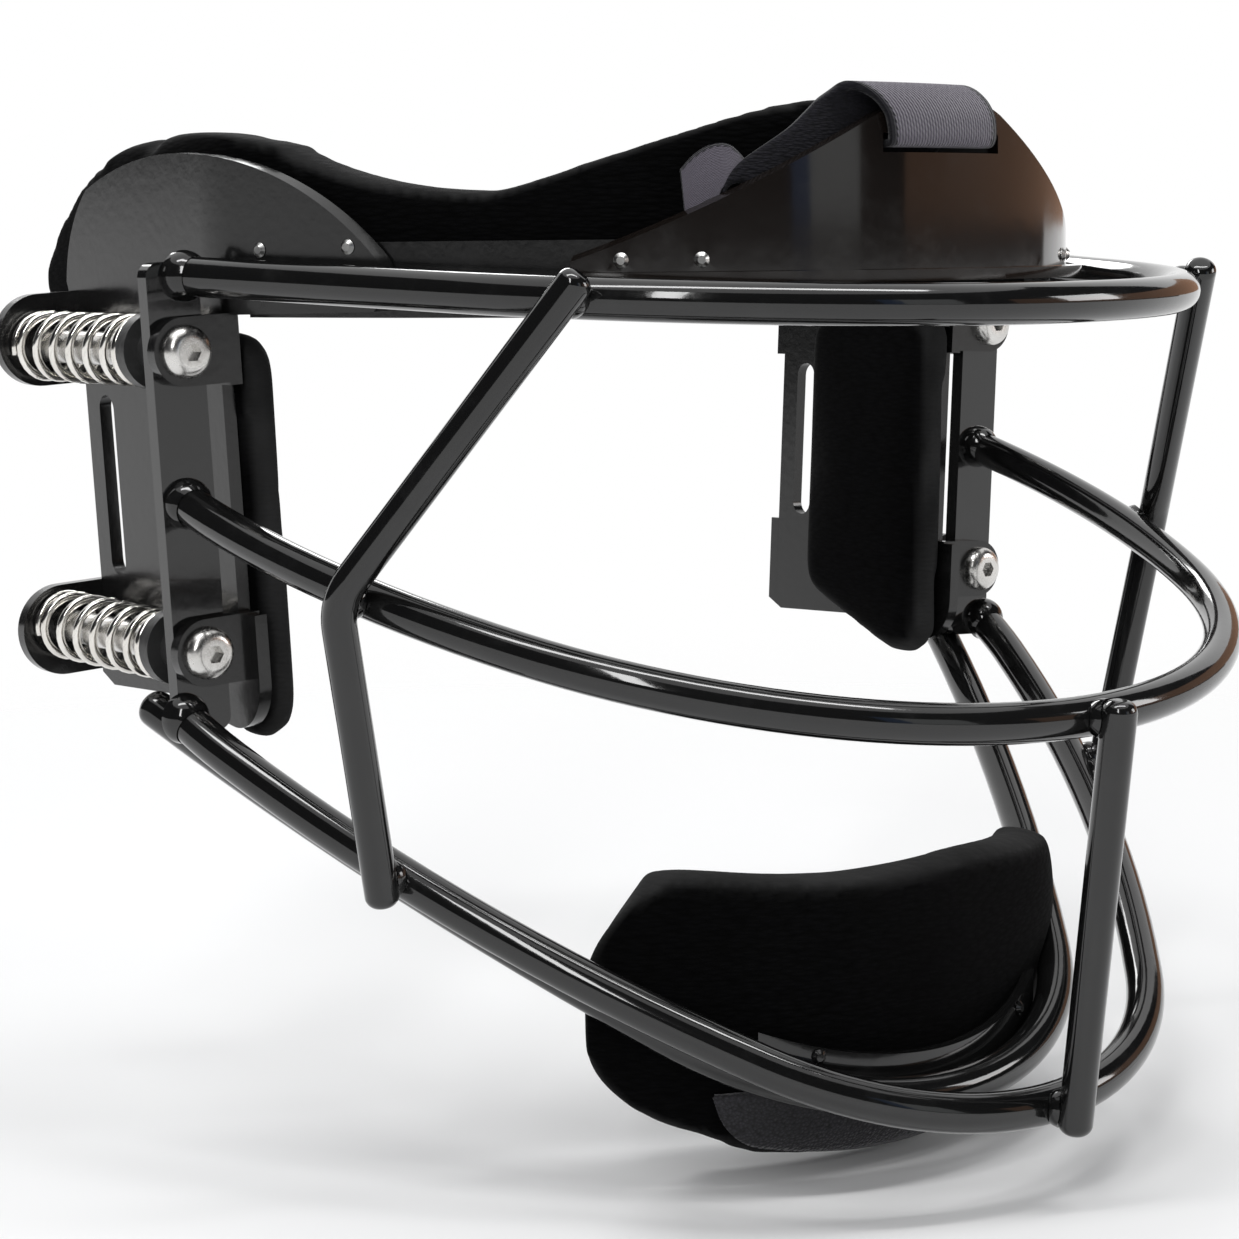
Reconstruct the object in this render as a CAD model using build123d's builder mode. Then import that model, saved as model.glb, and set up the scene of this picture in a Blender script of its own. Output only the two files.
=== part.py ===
from build123d import *
import math
import os

# Softball face guard. Millimetres, +Z up, the face of the guard looks towards -Y.
# X = 0 is the mid-plane, Y = 0 the front face of the cage's side strips and Z = 0 half way
# between the upper and the lower guide screws. The wearer's right side is at -X.
os.makedirs("parts", exist_ok=True)

# Guides: four screws with sleeves on which the sprung cage slides rearwards
guide_spread = 197.4
guide_spacing = 53.5
side_lean = 3.0
cage_travel = 6.0
running_gap = 0.05
soft_gap = 0.3
cut_extra = 5.0

# Side strip of the cage
strip_wide = 10.5
strip_thick = 3.0
strip_top = 42.5
strip_foot = 41.5
strip_corner = 2.5

# Side plate with its wing, tabs and strap slot
plate_spread = 180.0
plate_thick = 2.5
plate_rear = 54.0
plate_front = 5.0
plate_drop = 43.8
plate_corner = 9.0
front_recess = 3.0
rear_recess = 2.5
wing_foot = 33.0
wing_height = 61.6
wing_reach = 33.5
tab_thick = 2.5
front_tab_r = 6.1
rear_tab_r = 8.7
rear_tab_rise = 1.1
spring_room = 51.5
strap_slot_long = 34.5
strap_slot_wide = 5.5
strap_slot_back = 44.0

# Head line: the plan curve of wings, link bands, forehead shell and forehead pad
wing_turn = 18.0
wing_bend_r = 28.0
temple_turn = 40.0
temple_arc_r = 174.0

# Forehead shell
shell_thick = 2.5
shell_half = 59.7
shell_foot = 38.0
shell_shoulder = 41.8
shell_top = 69.5
shell_top_half = 14.5
shell_top_drop = 3.2
lip_out = 3.0
lip_high = 2.0
top_slot_wide = 27.6
top_slot_high = 3.2
top_slot_level = 61.3

# Link bands and their rivets
link_thick = 1.5
link_seat_gap = 0.4
link_high = 13.0
link_level = 39.0
link_rear = 5.0
link_overlap = 20.0
rivet_r = 0.9
rivet_head_r = 1.3
rivet_dome = 0.6
rivet_seat_gap = 0.15
wing_rivet_backs = (10.0, 27.0)
shell_rivet_halves = (53.9, 43.6)
wing_rivet_level = 44.2
shell_rivet_level = 42.0

# Pads
pad_thick = 8.0
forehead_pad_foot = 33.5
forehead_pad_rear = 74.0
forehead_pad_side_top = 65.5
forehead_pad_dip = 54.2
forehead_pad_top = 72.3
forehead_pad_front = 77.4
temple_pad_front = 3.5
temple_pad_rear = 36.0
temple_pad_top = 30.0
temple_pad_foot = 45.0
temple_pad_corner = 7.0
temple_pad_slope_y = 28.0
temple_pad_slope_z = 12.0
pad_edge_draw = 1.2
pad_crown_draw = 5.0

# Head strap
strap_wide = 25.4
strap_thick = 1.5
strap_rise = 71.6
strap_bend_r = 2.2
strap_fold_r = 1.0
strap_shell_gap = 0.35
strap_layer_gap = 0.15
strap_end_level = 67.0
strap_tail_level = 58.0

# Guide hardware
screw_r = 2.5
screw_clear = 0.1
screw_head_r = 4.75
screw_head_high = 2.75
screw_socket_r = 1.73
screw_socket_deep = 1.6
screw_end = 1.0
nut_r = 4.6
nut_high = 5.0
nut_collar_high = 1.5
sleeve_r = 3.1
seat_hub_r = 4.2
seat_hub_long = 4.0
seat_flange_r = 6.9
seat_flange_long = 3.0
spring_wire_r = 0.8
spring_outer_r = 6.7
spring_end_gap = 0.05
spring_quarters = 30
spring_closed_quarters = 4
spring_closed_pitch = 2.2

# Cage rods
rod_r = 3.5
brace_r = 3.0
rod_end_share = 0.7
top_half = 98.5
top_level = 39.9
top_turn = 17.65
top_front_r = 84.5
top_tilt = 2.74
middle_half = 99.1
middle_level = -0.1
middle_start = -1.8
middle_side_r = 160.0
middle_turn = 27.1
middle_tilt = 15.37
lower_half = 101.0
lower_level = -38.4
lower_start = 8.0
lower_bend_r = 80.0
lower_bend_turn = 17.4
lower_side_r = 297.0
lower_turn = 38.5
lower_tilt = 29.17
chin_half = 98.5
chin_rear = 13.0
chin_level = -39.2
chin_start = 20.8
chin_side_r = 515.0
chin_turn = 33.1
chin_tilt = 31.8
brace_top_share = 0.2525
brace_middle_share = 0.1434
brace_low_share = 0.153
brace_bend_r = 12.0
weld_gap = 0.3
brace_bend_ease = 0.7
brace_over_top = 5.0
brace_over_low = 4.5
centre_over_top = 3.5
centre_over_low = 4.0
weld_r = 3.4
end_weld_r = 4.6
weld_ease = 0.12
weld_room = 12.0
weld_knee_ease = 0.55

# Chin plate and chin pad
chin_plate_thick = 2.0
chin_plate_share = 0.385
chin_plate_rise = 6.7
chin_plate_drop = 3.0
chin_plate_room = 90.0
chin_rivet_share = 0.42
chin_rivet_rise = 5.2
chin_rivet_r = 0.9
chin_rivet_head_r = 1.3
flap_gap = 0.3
chin_pad_centre = 10.2
chin_pad_r = 74.0
chin_pad_thick = 12.0
chin_pad_top = -66.5
chin_pad_foot = -119.5
chin_pad_half = 57.5
chin_pad_end_foot = -107.0
chin_pad_corner = 13.0
chin_pad_share = 0.985
flap_thick = 1.5
flap_half = 40.0
flap_top = -103.0
flap_foot = -118.0
flap_end_foot = -111.5
flap_corner = 3.5

# Values that follow from the sizes above
lean = math.radians(side_lean)
up_side = Vector(-math.sin(lean), 0, math.cos(lean))
out_side = Vector(-math.cos(lean), 0, -math.sin(lean))
guide_half = guide_spread / 2
plate_half = plate_spread / 2
guide_gap = guide_half - plate_half
head_line_half = plate_half + link_level * math.tan(lean)
guide_lift = guide_spacing / 2
guide_step = guide_lift * math.tan(lean)
guide_local = guide_lift / math.cos(lean)
guide_points = [
    (side * (guide_half + level * guide_step), 0, level * guide_lift)
    for side in (-1, 1)
    for level in (1, -1)
]
seat_rear = strip_thick + seat_hub_long + seat_flange_long
spring_r = spring_outer_r - spring_wire_r

# Working planes of the right side: face_plane looks along the slide with its x outwards and
# its y up the leaning side, side_plane has x rearwards and y up, plan_plane has x outwards
# and y forwards
face_plane = Plane(origin=(-guide_half, 0, 0), x_dir=out_side, z_dir=(0, 1, 0))
side_plane = Plane(origin=(-plate_half, 0, 0), x_dir=(0, 1, 0), z_dir=out_side * -1)
plan_plane = Plane(origin=(-plate_half, 0, 0), x_dir=out_side, z_dir=up_side)
level_plane = Plane(origin=(-head_line_half, 0, 0), x_dir=(-1, 0, 0), z_dir=(0, 0, 1))


def keep(name, piece):
    """Label one finished piece and write it."""
    piece.label = name
    export_step(piece, "parts/" + name + ".step")


def keep_pair(name, piece):
    """Keep a piece of the right side and its mirror image on the left side."""
    keep("right_" + name, piece)
    keep("left_" + name, mirror(piece, about=Plane.YZ))


def inward(turn):
    """Horizontal direction towards the head where the head line has turned so far."""
    return (math.cos(math.radians(turn)), math.sin(math.radians(turn)), 0)


def head_line_point(turn, inset, last_r):
    """Point of the head line, x outwards from the flat side and y forwards, moved inwards."""
    start_y = wing_bend_r * math.tan(math.radians(wing_turn / 2))
    sine = math.sin(math.radians(wing_turn))
    cosine = math.cos(math.radians(wing_turn))
    x = -wing_bend_r * (1 - cosine)
    y = wing_bend_r * sine - start_y
    arc_turn = min(turn, temple_turn)
    x -= temple_arc_r * (cosine - math.cos(math.radians(arc_turn)))
    y += temple_arc_r * (math.sin(math.radians(arc_turn)) - sine)
    if turn > temple_turn:
        x -= last_r * (math.cos(math.radians(temple_turn)) - math.cos(math.radians(turn)))
        y += last_r * (math.sin(math.radians(turn)) - math.sin(math.radians(temple_turn)))
    return (x - inset * math.cos(math.radians(turn)), y - inset * math.sin(math.radians(turn)))


temple_x = head_line_point(temple_turn, 0, 0)[0]
front_arc_r = (head_line_half + temple_x) / math.cos(math.radians(temple_turn))
front_y = head_line_point(90, 0, front_arc_r)[1]


def head_line(rear, inset, last_turn):
    """Head line from the rear to the given turn, moved inwards by the inset."""
    start_y = -wing_bend_r * math.tan(math.radians(wing_turn / 2))
    with BuildLine() as line:
        flat = Line((-inset, -rear), (-inset, start_y))
        bend = JernArc(flat @ 1, (0, 1), wing_bend_r - inset, wing_turn)
        side_turn = min(last_turn, temple_turn) - wing_turn
        side = JernArc(bend @ 1, bend % 1, temple_arc_r - inset, side_turn)
        if last_turn > temple_turn:
            JernArc(side @ 1, side % 1, front_arc_r - inset, last_turn - temple_turn)
    return line.line


def head_band(rear, inset, thick, last_turn):
    """Closed plan outline of a band that follows the head line."""
    edge = head_line(rear, inset, last_turn)
    inner = head_line(rear, inset + thick, last_turn)
    with BuildSketch() as band:
        with BuildLine():
            add(edge)
            add(inner)
            Line(edge @ 0, inner @ 0)
            Line(edge @ 1, inner @ 1)
        make_face()
    return band.sketch


def turn_at_half(half):
    """Turn of the front arc where it is so far from the mid-plane."""
    return math.degrees(math.acos(half / front_arc_r))


def turn_at_back(depth):
    """Turn of the temple arc so far in front of the flat side's bend."""
    start = head_line_point(wing_turn, 0, 0)[1]
    sine = math.sin(math.radians(wing_turn)) + (depth - start) / temple_arc_r
    return math.degrees(math.asin(sine))


# Places of the wing rivets on the outer face of the leaning wing
wing_rivet_seats = []
for depth in wing_rivet_backs:
    turn = turn_at_back(depth)
    spot = head_line_point(turn, 0, front_arc_r)
    centre = plan_plane.from_local_coords((spot[0], spot[1], wing_rivet_level))
    wing_rivet_seats.append((centre, inward(turn)))

# Side plate: flat plate, bent wing along the head line and four tabs bent outwards
with BuildPart() as side_plate:
    with BuildSketch(plan_plane.offset(wing_foot)):
        add(head_band(plate_rear + cut_extra, 0, plate_thick, temple_turn))
    extrude(amount=wing_height - wing_foot + cut_extra)
    with BuildSketch(side_plane.offset(-cut_extra)):
        with BuildLine():
            front = Polyline(
                (plate_rear, wing_foot),
                (-wing_reach * 0.92, wing_foot),
                (-wing_reach, wing_foot + 0.15 * (wing_height - wing_foot)),
                (-wing_reach * 0.95, wing_foot + 0.31 * (wing_height - wing_foot)),
            )
            brow = ThreePointArc(
                front @ 1,
                (-wing_reach * 0.52, wing_foot + 0.77 * (wing_height - wing_foot)),
                (wing_reach * 0.1, wing_height * 0.994),
            )
            crest = ThreePointArc(
                brow @ 1,
                (plate_rear * 0.55, wing_foot + 0.95 * (wing_height - wing_foot)),
                (plate_rear * 0.84, wing_foot + 0.8 * (wing_height - wing_foot)),
            )
            back = ThreePointArc(
                crest @ 1,
                (plate_rear * 0.98, wing_foot + 0.5 * (wing_height - wing_foot)),
                (plate_rear * 1.035, wing_foot + 0.2 * (wing_height - wing_foot)),
            )
            Line(back @ 1, front @ 0)
        make_face()
    extrude(amount=plate_half + cut_extra, mode=Mode.INTERSECT)
    with BuildSketch(side_plane):
        with BuildLine():
            Polyline(
                (-tab_thick, wing_foot),
                (-tab_thick, guide_lift - front_tab_r),
                (front_recess - tab_thick, guide_lift - front_tab_r),
                (front_recess - tab_thick, front_tab_r - guide_lift),
                (-plate_front, front_tab_r - guide_lift),
                (-plate_front, -plate_drop),
                (plate_rear / 2, -plate_drop * 0.88),
                (plate_rear * 0.92, -plate_drop * 0.9),
                (plate_rear, -plate_drop * 0.85),
                (plate_rear, rear_tab_r - guide_lift - rear_tab_rise),
                (plate_rear - rear_recess, rear_tab_r - guide_lift - rear_tab_rise),
                (plate_rear - rear_recess, guide_lift + rear_tab_rise - rear_tab_r),
                (plate_rear, guide_lift + rear_tab_rise - rear_tab_r),
                (plate_rear, wing_foot),
                close=True,
            )
        make_face()
        corner = vertices().group_by(Axis.X)[0].sort_by(Axis.Y)[0]
        fillet(corner, plate_corner)
    extrude(amount=plate_thick)
    for level in (1, -1):
        with BuildSketch(face_plane.offset(-tab_thick)):
            with Locations((0, level * guide_local)):
                Circle(front_tab_r)
                root = guide_gap + plate_thick
                Rectangle(root, 2 * front_tab_r, align=(Align.MAX, Align.CENTER))
        extrude(amount=tab_thick)
        with BuildSketch(face_plane.offset(spring_room)):
            with Locations((0, level * (guide_lift + rear_tab_rise))):
                Circle(rear_tab_r)
                Rectangle(root, 2 * rear_tab_r, align=(Align.MAX, Align.CENTER))
        extrude(amount=plate_rear - spring_room)
        with BuildSketch(face_plane.offset(-tab_thick)):
            with Locations((0, level * guide_local)):
                Circle(screw_r + screw_clear)
        extrude(amount=plate_rear + tab_thick, mode=Mode.SUBTRACT)
    with BuildSketch(side_plane):
        with Locations((strap_slot_back, 0)):
            SlotOverall(strap_slot_long, strap_slot_wide, rotation=90)
    extrude(amount=plate_thick, mode=Mode.SUBTRACT)
    for centre, direction in wing_rivet_seats:
        with BuildSketch(Plane(origin=centre, z_dir=direction)):
            Circle(rivet_r + running_gap)
        extrude(amount=plate_thick * 2, both=True, mode=Mode.SUBTRACT)
keep_pair("side_plate", side_plate.part)


def head_arc(first_turn, last_turn, inset, thick):
    """Closed plan outline of a band between two turns of the head line."""
    mean = (first_turn + temple_turn) / 2
    last_mean = (last_turn + temple_turn) / 2
    with BuildSketch() as band:
        with BuildLine():
            ends = []
            for depth in (inset, inset + thick):
                start = head_line_point(first_turn, depth, front_arc_r)
                joint = head_line_point(temple_turn, depth, front_arc_r)
                end = head_line_point(last_turn, depth, front_arc_r)
                ThreePointArc(start, head_line_point(mean, depth, front_arc_r), joint)
                ThreePointArc(joint, head_line_point(last_mean, depth, front_arc_r), end)
                ends.append((start, end))
            Line(ends[0][0], ends[1][0])
            Line(ends[0][1], ends[1][1])
        make_face()
    return band.sketch


# Forehead shell: a curved plate with a strap slot and a bright lip turned out along its foot
front_centre_y = front_arc_r - front_y
shell_swing = math.degrees(math.asin(shell_half / front_arc_r))
with BuildPart() as forehead_shell:
    with BuildSketch(Plane.XY.offset(shell_foot)):
        with BuildLine():
            outer = CenterArc((0, front_centre_y), front_arc_r, 270 - shell_swing, 2 * shell_swing)
            inner = CenterArc(
                (0, front_centre_y), front_arc_r - shell_thick, 270 - shell_swing, 2 * shell_swing
            )
            Line(outer @ 0, inner @ 0)
            Line(outer @ 1, inner @ 1)
        make_face()
    extrude(amount=shell_top - shell_foot + cut_extra)
    with BuildSketch(Plane.XZ.offset(-front_centre_y)):
        with BuildLine():
            crown = ThreePointArc(
                (-shell_top_half, shell_top - shell_top_drop),
                (0, shell_top),
                (shell_top_half, shell_top - shell_top_drop),
            )
            Polyline(
                crown @ 1,
                (shell_half, shell_shoulder),
                (shell_half + cut_extra, shell_shoulder),
                (shell_half + cut_extra, shell_foot),
                (-shell_half - cut_extra, shell_foot),
                (-shell_half - cut_extra, shell_shoulder),
                (-shell_half, shell_shoulder),
                crown @ 0,
            )
        make_face()
    extrude(amount=front_arc_r + cut_extra, mode=Mode.INTERSECT)
    with BuildSketch(Plane.XY.offset(shell_foot)):
        with BuildLine():
            rim = CenterArc(
                (0, front_centre_y), front_arc_r + lip_out, 270 - shell_swing, 2 * shell_swing
            )
            root = CenterArc(
                (0, front_centre_y), front_arc_r - shell_thick / 2, 270 - shell_swing, 2 * shell_swing
            )
            Line(rim @ 0, root @ 0)
            Line(rim @ 1, root @ 1)
        make_face()
    extrude(amount=lip_high)
    with BuildSketch(Plane.XZ.offset(-front_centre_y)):
        with Locations((0, top_slot_level)):
            Rectangle(top_slot_wide, top_slot_high)
    extrude(amount=front_arc_r + cut_extra, mode=Mode.SUBTRACT)
    for half in shell_rivet_halves:
        for side in (-1, 1):
            depth = math.sqrt(front_arc_r**2 - half**2)
            away = Vector(side * half, -depth, 0)
            spot = Vector(side * half, front_centre_y - depth, shell_rivet_level)
            with BuildSketch(Plane(origin=spot, z_dir=away)):
                Circle(rivet_r + running_gap)
            extrude(amount=shell_thick * 2, both=True, mode=Mode.SUBTRACT)
keep("forehead_shell", forehead_shell.part)

# Link band: flat strip behind wing and shell that joins them
link_inset = max(plate_thick, shell_thick) + link_seat_gap
link_first_turn = turn_at_back(link_rear)
link_last_turn = turn_at_half(min(shell_rivet_halves) - link_overlap / 2)
with BuildPart() as link_band:
    with BuildSketch(level_plane.offset(link_level - link_high / 2)):
        add(head_arc(link_first_turn, link_last_turn, link_inset, link_thick))
    extrude(amount=link_high)
    for centre, direction in wing_rivet_seats:
        with BuildSketch(Plane(origin=centre, z_dir=direction)):
            Circle(rivet_r + running_gap)
        extrude(amount=link_inset + 2 * link_thick, mode=Mode.SUBTRACT)
    for half in shell_rivet_halves:
        depth = math.sqrt(front_arc_r**2 - half**2)
        spot = Vector(-half, front_centre_y - depth, shell_rivet_level)
        with BuildSketch(Plane(origin=spot, z_dir=(half, depth, 0))):
            Circle(rivet_r + running_gap)
        extrude(amount=link_inset + 2 * link_thick, mode=Mode.SUBTRACT)
keep_pair("link_band", link_band.part)

# Band rivets: dome heads outside, shanks that end flush with the band's inner face
rivet_long = link_inset + link_thick
wing_lean_out = (wing_rivet_level - link_level) * math.tan(lean)
rivet_seats = [(centre, direction, rivet_long + wing_lean_out) for centre, direction in wing_rivet_seats]
for half in shell_rivet_halves:
    depth = math.sqrt(front_arc_r**2 - half**2)
    centre = Vector(-half, front_centre_y - depth, shell_rivet_level)
    rivet_seats.append((centre, (half, depth, 0), rivet_long))
with BuildPart() as band_rivets:
    for centre, direction, length in rivet_seats:
        with BuildSketch(Plane(origin=centre, z_dir=direction)):
            Circle(rivet_r)
        extrude(amount=length)
        with BuildSketch(Plane(origin=centre, z_dir=Vector(direction) * -1).offset(rivet_seat_gap)):
            Circle(rivet_head_r)
        extrude(amount=rivet_dome, taper=45)
        with BuildSketch(Plane(origin=centre, z_dir=Vector(direction) * -1)):
            Circle(rivet_r)
        extrude(amount=rivet_seat_gap)
    mirror(about=Plane.YZ)
keep("band_rivets", band_rivets.part)

# Forehead pad: soft band behind wings, link bands and shell, higher at wings and forehead
pad_inset = link_inset + link_thick + soft_gap
with BuildPart() as forehead_pad:
    with BuildSketch(level_plane.offset(forehead_pad_foot)):
        add(head_band(forehead_pad_rear, pad_inset, pad_thick, temple_turn))
    extrude(amount=forehead_pad_top - forehead_pad_foot)
    mirror(about=Plane.YZ)
    with BuildSketch(Plane.XY.offset(forehead_pad_foot)):
        with BuildLine():
            bounds = []
            for depth in (pad_inset, pad_inset + pad_thick):
                spot = head_line_point(temple_turn, depth, front_arc_r)
                half = head_line_half + spot[0]
                middle = (0, depth - pad_inset - forehead_pad_front)
                ThreePointArc((-half, -spot[1]), middle, (half, -spot[1]))
                bounds.append((half, -spot[1]))
            Line(bounds[0], bounds[1])
            Line((-bounds[0][0], bounds[0][1]), (-bounds[1][0], bounds[1][1]))
        make_face()
    extrude(amount=forehead_pad_top - forehead_pad_foot)
    with BuildSketch(Plane.YZ):
        with BuildLine():
            rise = forehead_pad_side_top - forehead_pad_foot
            foot = Line(
                (-forehead_pad_front - cut_extra, forehead_pad_foot),
                (forehead_pad_rear * 0.97, forehead_pad_foot),
            )
            heel = ThreePointArc(
                foot @ 1,
                (forehead_pad_rear, forehead_pad_foot + rise * 0.17),
                (forehead_pad_rear * 0.965, forehead_pad_foot + rise * 0.35),
            )
            nape = ThreePointArc(
                heel @ 1,
                (forehead_pad_rear * 0.73, forehead_pad_foot + rise * 0.8),
                (forehead_pad_rear * 0.4, forehead_pad_foot + rise * 0.985),
            )
            crest = ThreePointArc(
                nape @ 1,
                (forehead_pad_rear * 0.12, forehead_pad_side_top),
                (-forehead_pad_front * 0.1, forehead_pad_foot + rise * 0.92),
            )
            slope = ThreePointArc(
                crest @ 1,
                (-forehead_pad_front * 0.35, forehead_pad_dip * 1.037),
                (-forehead_pad_front * 0.58, forehead_pad_dip),
            )
            climb = ThreePointArc(
                slope @ 1,
                (-forehead_pad_front * 0.77, (forehead_pad_dip * 0.7 + forehead_pad_top * 0.3)),
                (-forehead_pad_front * 0.93, (forehead_pad_dip * 0.25 + forehead_pad_top * 0.75)),
            )
            peak = Line(climb @ 1, (-forehead_pad_front - cut_extra, forehead_pad_top * 1.014))
            Line(peak @ 1, foot @ 0)
        make_face()
    extrude(amount=plate_half + cut_extra, both=True, mode=Mode.INTERSECT)
keep("forehead_pad", forehead_pad.part)

# Temple pads: crowned cushions with drawn-in sides on the inner faces of the side plates
with BuildPart() as temple_pad:
    pad_steps = ((0.0, pad_edge_draw), (0.3, 0.0), (0.75, pad_edge_draw), (1.0, pad_crown_draw))
    for rise_share, draw in pad_steps:
        lift = plate_thick + soft_gap + rise_share * (pad_thick - soft_gap)
        with BuildSketch(side_plane.offset(lift)):
            with BuildLine():
                Polyline(
                    (draw - temple_pad_front, temple_pad_top - draw),
                    (draw - temple_pad_front, draw - temple_pad_foot),
                    (temple_pad_rear - temple_pad_slope_y, draw - temple_pad_foot),
                    (temple_pad_rear - draw, draw + temple_pad_slope_z - temple_pad_foot),
                    (temple_pad_rear - draw, temple_pad_top - draw),
                    close=True,
                )
            make_face()
            fillet(vertices(), temple_pad_corner - draw)
    loft()
keep_pair("temple_pad", temple_pad.part)

# Head strap: ribbed elastic that loops over the shell's top, in at the slot and up again
# behind it, with a tail that lies between shell and pad and leads down to the right side
strap_out_r = front_arc_r + strap_shell_gap + strap_thick / 2
strap_in_r = front_arc_r - shell_thick - strap_layer_gap - strap_thick / 2
strap_back_r = strap_in_r - strap_thick - strap_layer_gap
strap_over = strap_rise - strap_thick / 2
strap_swing = math.degrees(math.asin(strap_wide / 2 / strap_out_r))
strap_angle = math.radians(270 - strap_swing)
strap_plane = Plane(
    origin=(0, front_centre_y, 0),
    x_dir=(math.cos(strap_angle), math.sin(strap_angle), 0),
    z_dir=(math.sin(strap_angle), -math.cos(strap_angle), 0),
)
with BuildPart() as strap_tail:
    with BuildSketch(Plane.XY.offset(shell_foot)):
        with Locations((0, front_centre_y)):
            Circle(strap_back_r + strap_thick / 2)
            Circle(strap_back_r - strap_thick / 2, mode=Mode.SUBTRACT)
    extrude(amount=strap_rise - shell_foot)
    with BuildSketch(Plane.XZ.offset(-front_centre_y)):
        with BuildLine():
            Polyline(
                (strap_wide / 2, strap_tail_level),
                (strap_wide / 2, strap_tail_level + strap_thick),
                (-strap_wide / 2, strap_over - strap_bend_r),
                (-strap_wide * 1.1, strap_over * 0.91),
                (-strap_wide * 1.57, strap_over * 0.86),
                (-strap_wide * 1.8, strap_over * 0.79),
                (-strap_wide * 1.8, strap_over * 0.665),
                (-strap_wide * 1.5, strap_over * 0.655),
                (-strap_wide * 1.02, strap_over * 0.69),
                (-strap_wide / 2, strap_over * 0.76),
                close=True,
            )
        make_face()
    extrude(amount=front_arc_r, mode=Mode.INTERSECT)
with BuildPart() as head_strap:
    with BuildSketch(strap_plane):
        with BuildLine():
            FilletPolyline(
                (strap_back_r, strap_tail_level),
                (strap_back_r, strap_over),
                (strap_out_r, strap_over),
                (strap_out_r, top_slot_level),
                (strap_in_r, top_slot_level),
                (strap_in_r, strap_end_level),
                radius=[strap_bend_r, strap_bend_r, strap_fold_r, strap_fold_r],
            )
        trace(line_width=strap_thick)
    revolve(axis=Axis((0, front_centre_y, 0), (0, 0, 1)), revolution_arc=2 * strap_swing)
    add(strap_tail.part)
keep("head_strap", head_strap.part)

# Guide screws, sleeves and lock nuts: four alike, each set in one node
slide_plane = Plane(origin=(0, 0, 0), x_dir=(1, 0, 0), z_dir=(0, 1, 0))
with BuildPart() as screw:
    with BuildSketch(slide_plane.offset(-tab_thick)):
        Circle(screw_r)
    extrude(amount=tab_thick + plate_rear + nut_high + screw_end)
    with BuildSketch(slide_plane.offset(-tab_thick)):
        Circle(screw_head_r)
    extrude(amount=-screw_head_high)
    fillet(edges().filter_by(GeomType.CIRCLE).group_by(Axis.Y)[0], screw_head_high * 0.85)
    with BuildSketch(slide_plane.offset(-tab_thick - screw_head_high)):
        RegularPolygon(screw_socket_r, 6)
    extrude(amount=screw_socket_deep, mode=Mode.SUBTRACT)
with BuildPart() as suspension_screws:
    with Locations(*guide_points):
        add(screw.part)
keep("suspension_screws", suspension_screws.part)

with BuildPart() as guide_sleeves:
    for point in guide_points:
        with BuildSketch(Plane(origin=point, x_dir=(1, 0, 0), z_dir=(0, 1, 0))):
            Circle(sleeve_r)
            Circle(screw_r + screw_clear, mode=Mode.SUBTRACT)
        extrude(amount=spring_room)
keep("guide_sleeves", guide_sleeves.part)

with BuildPart() as lock_nuts:
    for point in guide_points:
        guide = Plane(origin=point, x_dir=(1, 0, 0), z_dir=(0, 1, 0))
        with BuildSketch(guide.offset(plate_rear)):
            RegularPolygon(nut_r, 6)
        extrude(amount=nut_high - nut_collar_high)
        with BuildSketch(guide.offset(plate_rear + nut_high - nut_collar_high)):
            Circle(nut_r * 0.82)
        extrude(amount=nut_collar_high)
        with BuildSketch(guide.offset(plate_rear)):
            Circle(screw_r + running_gap)
        extrude(amount=nut_high, mode=Mode.SUBTRACT)
keep("lock_nuts", lock_nuts.part)

# Spring seats: hub and flange that ride on the sleeves behind the cage's strips
with BuildPart() as spring_seats:
    for point in guide_points:
        guide = Plane(origin=point, x_dir=(1, 0, 0), z_dir=(0, 1, 0))
        with BuildSketch(guide.offset(strip_thick)):
            Circle(seat_hub_r)
        extrude(amount=seat_hub_long)
        with BuildSketch(guide.offset(strip_thick + seat_hub_long)):
            Circle(seat_flange_r)
        extrude(amount=seat_flange_long)
        with BuildSketch(guide.offset(strip_thick)):
            Circle(sleeve_r + running_gap)
        extrude(amount=seat_hub_long + seat_flange_long, mode=Mode.SUBTRACT)
keep("spring_seats", spring_seats.part)

# Springs: one wire each, wound on arcs that follow a helix with closed end turns
spring_first = seat_rear + spring_end_gap + spring_wire_r
spring_last = spring_room - spring_end_gap - spring_wire_r
closed_count = 2 * spring_closed_quarters + 2
open_count = spring_quarters - closed_count
travel = 4 * (spring_last - spring_first)
spring_pitch = (travel - closed_count * spring_closed_pitch) / open_count


def quarter_pitch(index):
    """Pitch of the spring at the start of a quarter turn."""
    from_end = min(index, spring_quarters - index)
    if from_end <= spring_closed_quarters:
        return spring_closed_pitch
    if from_end == spring_closed_quarters + 1:
        return (spring_closed_pitch + spring_pitch) / 2
    return spring_pitch


def spring_nodes(point):
    """Places and directions of the wire at each quarter turn, and the straight cut ends."""
    places = []
    directions = []
    advance = spring_first
    for index in range(spring_quarters + 1):
        angle = math.radians(90 * index)
        pitch = quarter_pitch(index)
        places.append(Vector(point[0] + spring_r * math.cos(angle), advance, point[2] + spring_r * math.sin(angle)))
        rise = pitch / (2 * math.pi)
        directions.append(Vector(-spring_r * math.sin(angle), rise, spring_r * math.cos(angle)).normalized())
        if index < spring_quarters:
            advance += (pitch + quarter_pitch(index + 1)) / 8
    return places, directions


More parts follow.
